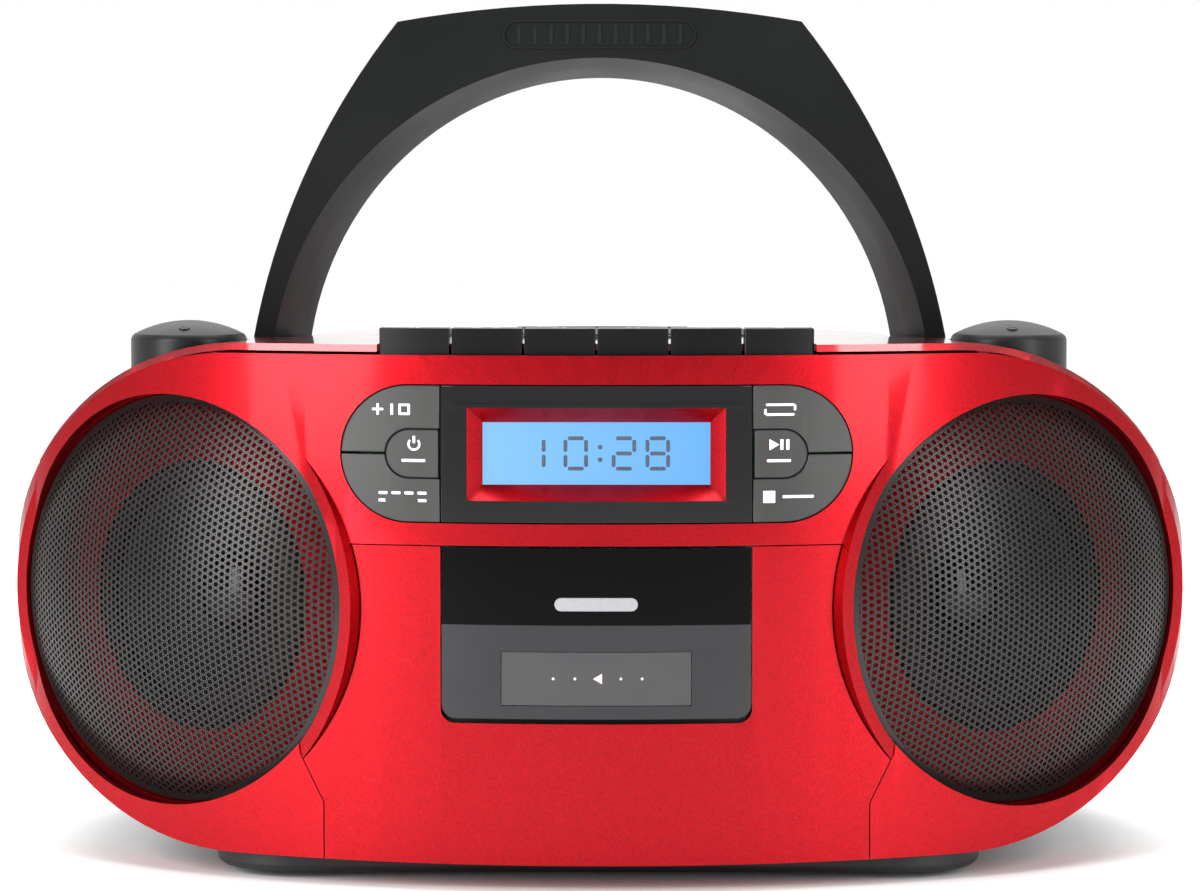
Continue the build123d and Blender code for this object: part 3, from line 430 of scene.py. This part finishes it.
def rim_place(side):
    """Turns a shape drawn round the origin, facing +Z, to a speaker's rim."""
    outward = Vector((side * sin(radians(34)), -cos(radians(34)), 0))
    up = Vector((0, 0, 1))
    across = outward.cross(up)
    turn = Matrix((up, across, outward)).transposed().to_4x4()
    return Matrix.Translation((side * 0.150, -0.072, 0.098)) @ turn


def on_dome(shape, lift=0.0):
    """Lifts flat vertices onto the grille's sphere."""
    for vert in shape.verts:
        flat = min(sqrt(vert.co.x ** 2 + vert.co.y ** 2), rim_radius)
        vert.co.z += sqrt(dome_radius ** 2 - flat ** 2) - dome_drop + lift


def honeycomb(radius, pitch):
    """A disc of touching hexagons."""
    net = bmesh.new()
    row_step = pitch * sqrt(3) / 2
    rows = int(radius / row_step)
    for row in range(-rows, rows + 1):
        shift = (row % 2) * pitch / 2
        reach = int(radius / pitch) + 1
        for column in range(-reach, reach + 1):
            centre = Vector((column * pitch + shift, row * row_step, 0))
            if centre.length < radius:
                place = Matrix.Translation(centre) @ Matrix.Rotation(pi / 6, 4, "Z")
                bmesh.ops.create_circle(net, cap_ends=True, segments=6, radius=pitch / sqrt(3), matrix=place)
    bmesh.ops.remove_doubles(net, verts=net.verts, dist=0.02 * mm)
    return net


grille_net = honeycomb(rim_radius - 1.6 * mm, hole_pitch)
cells = list(grille_net.faces)
bmesh.ops.inset_individual(grille_net, faces=cells, thickness=0.42 * mm, use_even_offset=True)
bmesh.ops.delete(grille_net, geom=cells, context="FACES")
border = bmesh.ops.create_circle(grille_net, cap_ends=True, segments=96, radius=rim_radius)["verts"]
border_face = border[0].link_faces[0]
bmesh.ops.inset_region(grille_net, faces=[border_face], thickness=2.4 * mm, use_boundary=True)
bmesh.ops.delete(grille_net, geom=[border_face], context="FACES_ONLY")
on_dome(grille_net)
bmesh.ops.recalc_face_normals(grille_net, faces=grille_net.faces)
bmesh.ops.solidify(grille_net, geom=grille_net.faces[:], thickness=0.7 * mm)
grille_mesh = bpy.data.meshes.new("grille_net")
grille_net.to_mesh(grille_mesh)
grille_net.free()
for side, name in ((-1, "left"), (1, "right")):
    shape = bmesh.new()
    shape.from_mesh(grille_mesh)
    bmesh.ops.transform(shape, matrix=rim_place(side), verts=shape.verts)
    made = piece_from(shape, "perforated_grille_" + name, "cabinet", "grille_steel", smooth_angle=20.0)
    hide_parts("speaker_grille_" + name)
print("holes:", len(cells), "grille faces:", len(grille_mesh.polygons))

# %% [markdown]
# ## Speaker cones
# Behind each grille sits a paper cone with a rubber half-roll at its edge and a glossy dust cap. Turned parts like
# these are a profile spun about the axis; `use_merge` closes the turn.

# %% Turned parts
def turned(profile, segments=64):
    """Spins a profile of radius and height pairs about the Z axis."""
    shape = bmesh.new()
    points = [shape.verts.new((radius * mm, 0, height * mm)) for radius, height in profile]
    edges = [shape.edges.new(pair) for pair in zip(points, points[1:])]
    bmesh.ops.spin(shape, geom=points + edges, cent=(0, 0, 0), axis=(0, 0, 1), angle=2 * pi, steps=segments,
                   use_merge=True)
    bmesh.ops.remove_doubles(shape, verts=shape.verts, dist=0.001 * mm)
    bmesh.ops.recalc_face_normals(shape, faces=shape.faces)
    return shape


roll_profile = [(49, -12.8), (47.6, -12.6)]
roll_profile += [(44.6 + 3 * cos(step * pi / 8), -12.6 + 3 * sin(step * pi / 8)) for step in range(1, 8)]
roll_profile += [(41.6, -12.6), (41.2, -13.6)]
cap_profile = [(14.5 * sin(step * pi / 16), -27 + 7 * cos(step * pi / 16)) for step in range(0, 9)]
cap_profile[0] = (0, -20)
for side, name in ((-1, "left"), (1, "right")):
    roll = turned(roll_profile)
    bmesh.ops.transform(roll, matrix=rim_place(side), verts=roll.verts)
    piece_from(roll, "cone_surround_" + name, "cabinet", "rubber")
    cap = turned(cap_profile)
    bmesh.ops.transform(cap, matrix=rim_place(side), verts=cap.verts)
    piece_from(cap, "dust_cap_" + name, "cabinet", "panel_black")
print("speaker trim done")

# %% [markdown]
# ## Shapes that follow the bowed front
# The front is part of a cylinder of 290 mm radius. Flat shapes are drawn in the front view, with X across, Z up and Y
# as the depth behind the front, and then bent onto it. A long face needs a few cuts before it can bend.

# %% Bending helpers
front_radius = 290 * mm
front_axis_y = 0.165


def front_at(x):
    """The front's Y at a distance from the middle."""
    return front_axis_y - sqrt(front_radius ** 2 - x ** 2)


def bend(shape):
    for vert in shape.verts:
        vert.co.y += front_at(vert.co.x)


def slice_upright(shape, step_mm=4.0, reach_mm=60.0):
    """Cuts a flat shape by upright planes so that it can follow the curve."""
    count = int(2 * reach_mm / step_mm)
    for index in range(1, count):
        geometry = shape.verts[:] + shape.edges[:] + shape.faces[:]
        bmesh.ops.bisect_plane(shape, geom=geometry, dist=0.001 * mm, plane_no=(1, 0, 0),
                               plane_co=((index * step_mm - reach_mm) * mm, 0, 0))


def rounded_plate(width, height, corner, centre=(0.0, 0.0), depth=0.0, corner_segments=6):
    """A flat rounded rectangle in the front view, facing the viewer; sizes in millimetres."""
    shape = bmesh.new()
    bmesh.ops.create_grid(shape, x_segments=1, y_segments=1, size=0.5)
    bmesh.ops.scale(shape, vec=(width * mm, height * mm, 1), verts=shape.verts)
    bmesh.ops.rotate(shape, matrix=Matrix.Rotation(pi / 2, 3, "X"), verts=shape.verts)
    if corner:
        bmesh.ops.bevel(shape, geom=shape.verts[:], offset=corner * mm, segments=corner_segments, affect="VERTICES",
                        profile=0.5, material=-1)
    bmesh.ops.translate(shape, vec=(centre[0] * mm, depth * mm, centre[1] * mm), verts=shape.verts)
    return shape


def thicken(shape, amount_mm):
    """Pulls a flat front-view shape back by an amount, which closes it into a solid plate."""
    pulled = bmesh.ops.extrude_face_region(shape, geom=shape.faces[:])
    moved = [item for item in pulled["geom"] if isinstance(item, bmesh.types.BMVert)]
    bmesh.ops.translate(shape, vec=(0, amount_mm * mm, 0), verts=moved)
    bmesh.ops.recalc_face_normals(shape, faces=shape.faces)


def ring_of(shape, inset_mm):
    """Turns a one-face plate into a frame of that width."""
    inner = shape.faces[:]
    bmesh.ops.inset_region(shape, faces=inner, thickness=inset_mm * mm, use_even_offset=True, use_boundary=True)
    bmesh.ops.delete(shape, geom=inner, context="FACES_ONLY")


def add_plates(joined, parts, corner_steps=3):
    """Adds flat front-view plates to a shape; each is (width, height, corner, x, z)."""
    for width, height, corner, x, z in parts:
        plate = rounded_plate(width, height, corner, (x, z), 0.0, corner_steps)
        plate_mesh = bpy.data.meshes.new("plate")
        plate.to_mesh(plate_mesh)
        plate.free()
        joined.from_mesh(plate_mesh)
    return joined


# %% [markdown]
# ## The display
# A glossy black frame stands a little proud of the key panel. Inside it four red lacquered slopes lead down to the
# screen. The frame and the slopes are each one plate that is inset and loses its middle; the slopes' inner edge is
# then pushed back to the flat screen. The time is seven-segment digits made of small plates.

# %% Display frame, slopes and digits
pill_z = 152.7
screen_y = -116.6 * mm
frame_shape = rounded_plate(106.5, 35.4, 4.2, (0, pill_z), -0.9)
ring_of(frame_shape, 1.5)
for vert in frame_shape.verts:
    if abs(vert.co.x) < 52.0 * mm and abs(vert.co.z - pill_z * mm) < 16.3 * mm:
        vert.co.x = 45.0 * mm if vert.co.x > 0 else -45.0 * mm
slice_upright(frame_shape, 4.0, 56.0)
thicken(frame_shape, 1.6)
bend(frame_shape)
made = piece_from(frame_shape, "display_frame", "cabinet", "panel_black")
round_edges(made, 0.45, 3, 40.0)

slope_width = 5.6
slope = rounded_plate(90.6, 33.0, 0.0, (0, pill_z), -0.1)
ring_of(slope, slope_width)
slice_upright(slope, 5.0, 50.0)
for vert in slope.verts:
    from_edge = min(45.3 - abs(vert.co.x / mm), 16.5 - abs(vert.co.z / mm - pill_z))
    way_down = min(max(from_edge / slope_width, 0.0), 1.0)
    rim_depth = front_at(vert.co.x) + 0.4 * mm
    vert.co.y = rim_depth + way_down * (screen_y - 0.15 * mm - rim_depth)
thicken(slope, 0.8)
bezel_lacquer = red_lacquer("bezel_lacquer", "#86000c", "#bd0618", 0.22)
made = piece_from(slope, "display_slopes", "cabinet", "red_lacquer", bezel_lacquer, 12.0)
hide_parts("display_bezel")

segment_places = {"a": (0, 1, True), "g": (0, 0, True), "d": (0, -1, True), "f": (-1, 0.5, False),
                  "b": (1, 0.5, False), "e": (-1, -0.5, False), "c": (1, -0.5, False)}
lit_segments = {"0": "abcdef", "1": "bc", "2": "abged", "8": "abcdefg"}
digit_half_width = 3.6
digit_half_height = 5.3
digits = bmesh.new()
for figure, digit_x in (("1", -22.0), ("0", -7.2), ("2", 9.6), ("8", 21.4)):
    for key in lit_segments[figure]:
        across, up, level = segment_places[key]
        width, height = (5.6, 1.35) if level else (1.35, 4.3)
        add_plates(digits, [(width, height, 0.6, digit_x + across * digit_half_width,
                             pill_z + up * digit_half_height)], 2)
add_plates(digits, [(1.7, 1.7, 0.84, 1.3, pill_z + up) for up in (-2.2, 2.2)])
bmesh.ops.translate(digits, vec=(0, screen_y - 0.12 * mm, 0), verts=digits.verts)
piece_from(digits, "clock_digits", "cabinet", "screen", dark_ink)
print("display done")

# %% [markdown]
# ## The cassette door
# The door's upper band is polished black and its lower part is a satin dark grey, with the smoked window let into it.
# The softened door is cut across at the change of finish, and the faces below the cut take the second material.

# %% Cassette door
door = finished["cassette_door"].data
door_shape = bmesh.new()
door_shape.from_mesh(door)
bmesh.ops.bisect_plane(door_shape, geom=door_shape.verts[:] + door_shape.edges[:] + door_shape.faces[:],
                       dist=0.001 * mm, plane_co=(0, 0, 0.0932), plane_no=(0, 0, 1))
for face in door_shape.faces:
    face.material_index = 0 if face.calc_center_median().z > 0.0932 else 1
door_shape.to_mesh(door)
door_shape.free()
door.materials.append(door_satin)

badge = rounded_plate(29.0, 4.6, 2.28, (0, 100.6), -0.75)
slice_upright(badge, 3.0, 18.0)
thicken(badge, 0.6)
bend(badge)
piece_from(badge, "door_badge", "tape_door", "bright_steel", badge_metal)
print("door done")

# %% [markdown]
# ## Pad-printed marks
# The keys carry simple printed signs: plates a few hundredths of a millimetre proud of the face, bent with it.

# %% Printed signs
def printed(shape, name, body, slot_name, material, depth=-0.06):
    """Lays a flat shape on the curved front; a negative depth stands proud of it, in millimetres."""
    for vert in shape.verts:
        vert.co.y += front_at(vert.co.x) + depth * mm
    return piece_from(shape, name, body, slot_name, material)


def sign(name, parts, body, slot_name, material, depth=-0.06):
    """Joins small plates into one printed sign; each part is (width, height, corner, x, z)."""
    return printed(add_plates(bmesh.new(), parts), name, body, slot_name, material, depth)


def arrow_heads(places, size):
    """Arrow heads in the front view; each place is (x, z, turn), and a turn of 0 points to +X."""
    heads = bmesh.new()
    for x, z, turn in places:
        head = bmesh.new()
        bmesh.ops.create_circle(head, cap_ends=True, segments=3, radius=size * mm)
        bmesh.ops.rotate(head, matrix=Matrix.Rotation(turn - pi / 2, 3, "Z"), verts=head.verts)
        bmesh.ops.rotate(head, matrix=Matrix.Rotation(pi / 2, 3, "X"), verts=head.verts)
        bmesh.ops.translate(head, vec=(x * mm, 0, z * mm), verts=head.verts)
        head_mesh = bpy.data.meshes.new("head")
        head.to_mesh(head_mesh)
        head.free()
        heads.from_mesh(head_mesh)
    return heads


upper_z = pill_z + 15.4
lower_z = pill_z - 15.0
sign("preset_sign", [(4.0, 0.85, 0.2, -76.4, upper_z), (0.85, 4.0, 0.2, -76.4, upper_z),
                     (0.95, 3.9, 0.2, -71.4, upper_z), (3.2, 0.85, 0.2, -67.0, upper_z + 1.55),
                     (3.2, 0.85, 0.2, -67.0, upper_z - 1.55), (0.85, 3.9, 0.2, -68.6, upper_z),
                     (0.85, 3.9, 0.2, -65.4, upper_z)],
     "preset_button_body", "key_black", white_ink)
sign("program_sign", [(3.2, 1.0, 0.3, -74.6 + 4.6 * step, lower_z + 1.2) for step in range(4)]
     + [(17.0, 1.0, 0.3, -67.7, lower_z - 1.4)], "program_button_body", "key_black", white_ink)
sign("repeat_sign", [(10.0, 0.85, 0.3, 64.0, upper_z + 1.7), (10.0, 0.85, 0.3, 64.0, upper_z - 1.7),
                     (0.85, 2.0, 0.3, 69.2, upper_z + 0.7), (0.85, 2.0, 0.3, 58.8, upper_z - 0.7)],
     "repeat_button_body", "key_black", white_ink)
sign("stop_sign", [(4.2, 4.2, 0.2, 60.2, lower_z), (11.0, 1.0, 0.3, 70.4, lower_z)],
     "stop_button_body", "key_black", white_ink)
sign("mode_sign", [(0.9, 2.6, 0.3, -63.6, pill_z + 4.9), (8.4, 1.0, 0.3, -63.8, pill_z - 2.4)],
     "mode_button_body", "key_black", white_ink)
sign("play_sign", [(1.1, 3.6, 0.1, 64.6, pill_z + 3.2), (1.1, 3.6, 0.1, 66.7, pill_z + 3.2),
                   (8.4, 1.0, 0.3, 63.6, pill_z - 2.4)], "play_button_body", "key_black", white_ink)
printed(arrow_heads([(61.4, pill_z + 3.2, 0)], 2.3), "play_arrow", "play_button_body", "key_black", white_ink)
power = rounded_plate(4.6, 4.6, 2.28, (-63.6, pill_z + 3.3), 0.0, 6)
ring_of(power, 0.75)
bmesh.ops.delete(power, geom=[face for face in power.faces if face.calc_center_median().z > (pill_z + 4.6) * mm
                              and abs(face.calc_center_median().x + 63.6 * mm) < 1.2 * mm], context="FACES")
printed(power, "power_ring", "mode_button_body", "key_black", white_ink)
sign("window_dots", [(1.0, 1.0, 0.48, x, 74.6) for x in (-15.0, -7.4, 8.6, 16.0)], "tape_door", "smoke_window",
     rose_ink, 0.2)
printed(arrow_heads([(1.0, 74.6, pi)], 2.1), "window_arrow", "tape_door", "key_black", rose_ink, 0.2)

# %% [markdown]
# ## Handle plate and knob pointers
# The middle of the handle carries a plain moulded pill with a sunken field. Each knob has a small dimple as its
# pointer, shown as a dark disc with a raised lip.

# %% Handle plate and knob pointers
plate = rounded_plate(72.0, 11.0, 5.4, (0, 302.6), 0.0)
bmesh.ops.translate(plate, vec=(0, -0.0181, 0), verts=plate.verts)
ring_of(plate, 1.0)
thicken(plate, 0.9)
made = piece_from(plate, "handle_plate_rim", "handle", "handle_black")
round_edges(made, 0.25, 2, 40.0)
for step in range(-5, 6):
    groove = rounded_plate(1.5, 7.0, 0.7, (step * 6.0, 302.6), 0.0, 3)
    bmesh.ops.translate(groove, vec=(0, -0.0178, 0), verts=groove.verts)
    thicken(groove, 0.5)
    piece_from(groove, f"handle_grip_rib_{step + 5}", "handle", "handle_black")
for side, body in ((-1, "function_dial"), (1, "volume_dial")):
    dimple = turned([(0, 0.1), (1.3, 0.1), (1.5, 0.35), (1.9, 0.35), (2.1, 0.0)], 24)
    place = Matrix.Translation((side * 0.149, -0.054 - 0.0145, 0.1949)) @ Matrix.Rotation(radians(12), 4, "X")
    bmesh.ops.transform(dimple, matrix=place, verts=dimple.verts)
    piece_from(dimple, body + "_pointer", body, "knob_black")
print("signs done")

# %% [markdown]
# ## Signs on the deck keys
# Each piano key carries its sign on top: bars and arrow heads that lie flat on the key.

# %% Key top signs
key_top = 196.34 * mm


def lay_on_top(shape, name, body, slot_name, material, height):
    """Turns a front-view shape to face up, at a height."""
    bmesh.ops.rotate(shape, matrix=Matrix.Rotation(-pi / 2, 3, "X"), verts=shape.verts)
    bmesh.ops.translate(shape, vec=(0, 0, height), verts=shape.verts)
    return piece_from(shape, name, body, slot_name, material)


sign_y = -110.0
key_x = {name: (index - 2.5) * 25.5 for index, name in enumerate(
    ["pause_key", "eject_key", "forward_key", "rewind_key", "deck_play_key", "record_key"])}
bars = {"pause_key": [(1.0, 3.6, 0.1, -1.1, 0), (1.0, 3.6, 0.1, 1.1, 0)], "eject_key": [(4.2, 0.8, 0.1, 3.0, -1.9),
        (3.2, 3.2, 0.1, -3.6, 0)], "record_key": [(4.0, 4.0, 1.96, 0, 0)]}
heads = {"eject_key": [(3.0, 0.2, pi / 2)], "forward_key": [(-1.5, 0, 0), (1.7, 0, 0)],
         "rewind_key": [(-1.7, 0, pi), (1.5, 0, pi)], "deck_play_key": [(0, 0, pi)]}
for name, parts in bars.items():
    shape = add_plates(bmesh.new(), [(w, h, c, key_x[name] + x, sign_y + y) for w, h, c, x, y in parts])
    lay_on_top(shape, name + "_bars", name + "_body", "key_black", white_ink, key_top)
for name, places in heads.items():
    shape = arrow_heads([(key_x[name] + x, sign_y + y, turn) for x, y, turn in places], 1.9)
    lay_on_top(shape, name + "_arrows", name + "_body", "key_black", white_ink, key_top)
print("key signs done")

# %% [markdown]
# ## Top, sides and back
# The disc lid has a raised ring and a finger pad. The handle's pivots have round caps. The back carries louvre ribs,
# a battery hatch with grip ribs, case screws in shallow cups and a plain label.

# %% Lid ring, finger pad and pivot caps
lid_top = 191.1
ring = turned([(50.0, 0.0), (50.4, 0.5), (52.6, 0.5), (53.0, 0.0)], 96)
bmesh.ops.translate(ring, vec=(0, 0.030, lid_top * mm), verts=ring.verts)
piece_from(ring, "lid_ring", "disc_lid", slot_of_node["cd_lid"], finished["cd_lid"].data.materials[0])
pad = rounded_plate(26.0, 7.0, 3.4, (0, -29.0), 0.0)
ring_of(pad, 0.8)
bmesh.ops.rotate(pad, matrix=Matrix.Rotation(-pi / 2, 3, "X"), verts=pad.verts)
bmesh.ops.translate(pad, vec=(0, 0, (lid_top + 0.4) * mm), verts=pad.verts)
pulled = bmesh.ops.extrude_face_region(pad, geom=pad.faces[:])
pulled_verts = [item for item in pulled["geom"] if isinstance(item, bmesh.types.BMVert)]
bmesh.ops.translate(pad, vec=(0, 0, -0.5 * mm), verts=pulled_verts)
bmesh.ops.recalc_face_normals(pad, faces=pad.faces)
piece_from(pad, "lid_finger_pad", "disc_lid", slot_of_node["cd_lid"], finished["cd_lid"].data.materials[0])
for side in (-1, 1):
    cap = turned([(0, 1.4), (7.0, 1.4), (10.6, 0.9), (11.2, 0.0)], 48)
    place = Matrix.Translation((side * 0.129, 0.005, 0.170)) @ Matrix.Rotation(side * pi / 2, 4, "Y")
    bmesh.ops.transform(cap, matrix=place, verts=cap.verts)
    piece_from(cap, f"pivot_cap_{side + 1}", "handle", "handle_black")


# %% Back
def on_the_back(name, width, height, corner, x, z, proud, thickness, body, slot_name, material=None):
    """A plate on the flat back, facing away from the viewer."""
    shape = rounded_plate(width, height, corner, (-x, z), 0.0, 4)
    thicken(shape, thickness)
    bmesh.ops.rotate(shape, matrix=Matrix.Rotation(pi, 3, "Z"), verts=shape.verts)
    bmesh.ops.translate(shape, vec=(0, 0.125 + proud * mm, 0), verts=shape.verts)
    return piece_from(shape, name, body, slot_name, material)


for row in range(7):
    on_the_back(f"louvre_{row}", 120.0, 1.8, 0.85, 0.0, 94.0 + 4.0 * row, 0.8, 1.2, "cabinet", "black_shell")
for column in range(-4, 5):
    on_the_back(f"hatch_rib_{column + 4}", 1.8, 12.0, 0.8, column * 5.0, 72.0, 0.7, 1.0, "battery_hatch",
                slot_of_node["battery_door"])
on_the_back("rating_label", 70.0, 11.0, 1.5, 0.0, 18.5, 0.12, 0.2, "cabinet", "black_shell", badge_metal)
for step in range(4):
    on_the_back(f"label_line_{step}", 60.0 - 9.0 * (step % 2), 0.7, 0.2, 0.0, 15.4 + 2.0 * step, 0.16, 0.1, "cabinet",
                "black_shell", dark_ink)
for x in (-118.0, 118.0):
    for z in (22.0, 108.0):
        cup = turned([(0, -0.2), (2.6, -0.2), (2.9, 0.2), (4.6, 0.2), (4.9, 0.0)], 32)
        place = Matrix.Translation((x * mm, 0.1251, z * mm)) @ Matrix.Rotation(-pi / 2, 4, "X")
        bmesh.ops.transform(cup, matrix=place, verts=cup.verts)
        piece_from(cup, f"screw_cup_{int(x)}_{int(z)}".replace("-", "m"), "cabinet", "black_shell")
        head = turned([(0, 0.9), (1.6, 0.9), (2.3, 0.4), (2.5, 0.0)], 24)
        bmesh.ops.transform(head, matrix=place, verts=head.verts)
        piece_from(head, f"case_screw_{int(x)}_{int(z)}".replace("-", "m"), "cabinet", "bright_steel")
print("back done")

# %% [markdown]
# ## Floor, light and camera
# The product stands on a pale floor in soft studio light: a broad overhead softbox, a strip on each side that draws a
# highlight down the bowed front, and an even pale surround. The camera stands 1.4 m in front and a little above.

# %% Stage
front_y = cad_low.y
camera_distance = 1.4
camera_height = 0.2357
camera_pitch = 3.26
frame_width_at_front = 415.2 * mm

floor_shape = bmesh.new()
bmesh.ops.create_grid(floor_shape, x_segments=1, y_segments=1, size=12.0)
floor_mesh = bpy.data.meshes.new("floor")
floor_shape.to_mesh(floor_mesh)
floor_shape.free()
floor = bpy.data.objects.new("floor", floor_mesh)
floor.location.z = -0.0004
bpy.context.scene.collection.objects.link(floor)
floor_mesh.materials.append(printed_ink("pale_floor", "#fdfdfd", 0.7, 0.02))

world = bpy.data.worlds.new("surround")
bpy.context.scene.world = world
world.use_nodes = True
background = world.node_tree.nodes["Background"]
background.inputs["Color"].default_value = (1.0, 1.0, 1.0, 1.0)
direction = add_node(world.node_tree, "ShaderNodeTexCoord")
parts = add_node(world.node_tree, "ShaderNodeSeparateXYZ", {"Vector": direction.outputs["Generated"]})
depth_light = add_node(world.node_tree, "ShaderNodeMapRange", {"Value": parts.outputs["Y"], "From Min": -0.6,
                                                               "From Max": 0.5, "To Min": 0.10, "To Max": 1.0})
world.node_tree.links.new(depth_light.outputs["Result"], background.inputs["Strength"])


def softbox(name, place, target, width, height, watts):
    """A rectangular area light that faces a point."""
    lamp = bpy.data.lights.new(name, "AREA")
    lamp.shape = "RECTANGLE"
    lamp.size = width
    lamp.size_y = height
    lamp.energy = watts
    made = bpy.data.objects.new(name, lamp)
    made.location = place
    made.rotation_euler = (Vector(target) - Vector(place)).to_track_quat("-Z", "Y").to_euler()
    bpy.context.scene.collection.objects.link(made)
    return made


softbox("overhead", (0.0, 0.1, 1.6), (0.0, 0.0, 0.1), 1.8, 1.2, 22)
softbox("left_box", (-1.05, -1.05, 0.62), (-0.1, -0.1, 0.12), 0.60, 1.2, 24)
softbox("right_box", (1.05, -1.1, 0.62), (0.1, -0.1, 0.12), 0.40, 1.2, 15)

sky = bpy.data.lights.new("ceiling_glow", "SUN")
sky.angle = radians(80)
sky.energy = 1.5
ceiling = bpy.data.objects.new("ceiling_glow", sky)
ceiling.rotation_euler = (radians(-25), 0.0, 0.0)
bpy.context.scene.collection.objects.link(ceiling)

lens = bpy.data.cameras.new("camera")
lens.sensor_width = 36.0
lens.lens = camera_distance / frame_width_at_front * lens.sensor_width
camera = bpy.data.objects.new("camera", lens)
camera.location = (0.016, front_y - camera_distance, camera_height)
camera.rotation_euler = (radians(90 - camera_pitch), 0.0, radians(0.6))
bpy.context.scene.collection.objects.link(camera)
bpy.context.scene.camera = camera
bpy.context.scene.view_settings.view_transform = "Standard"
print("lens:", round(lens.lens, 1), "mm")
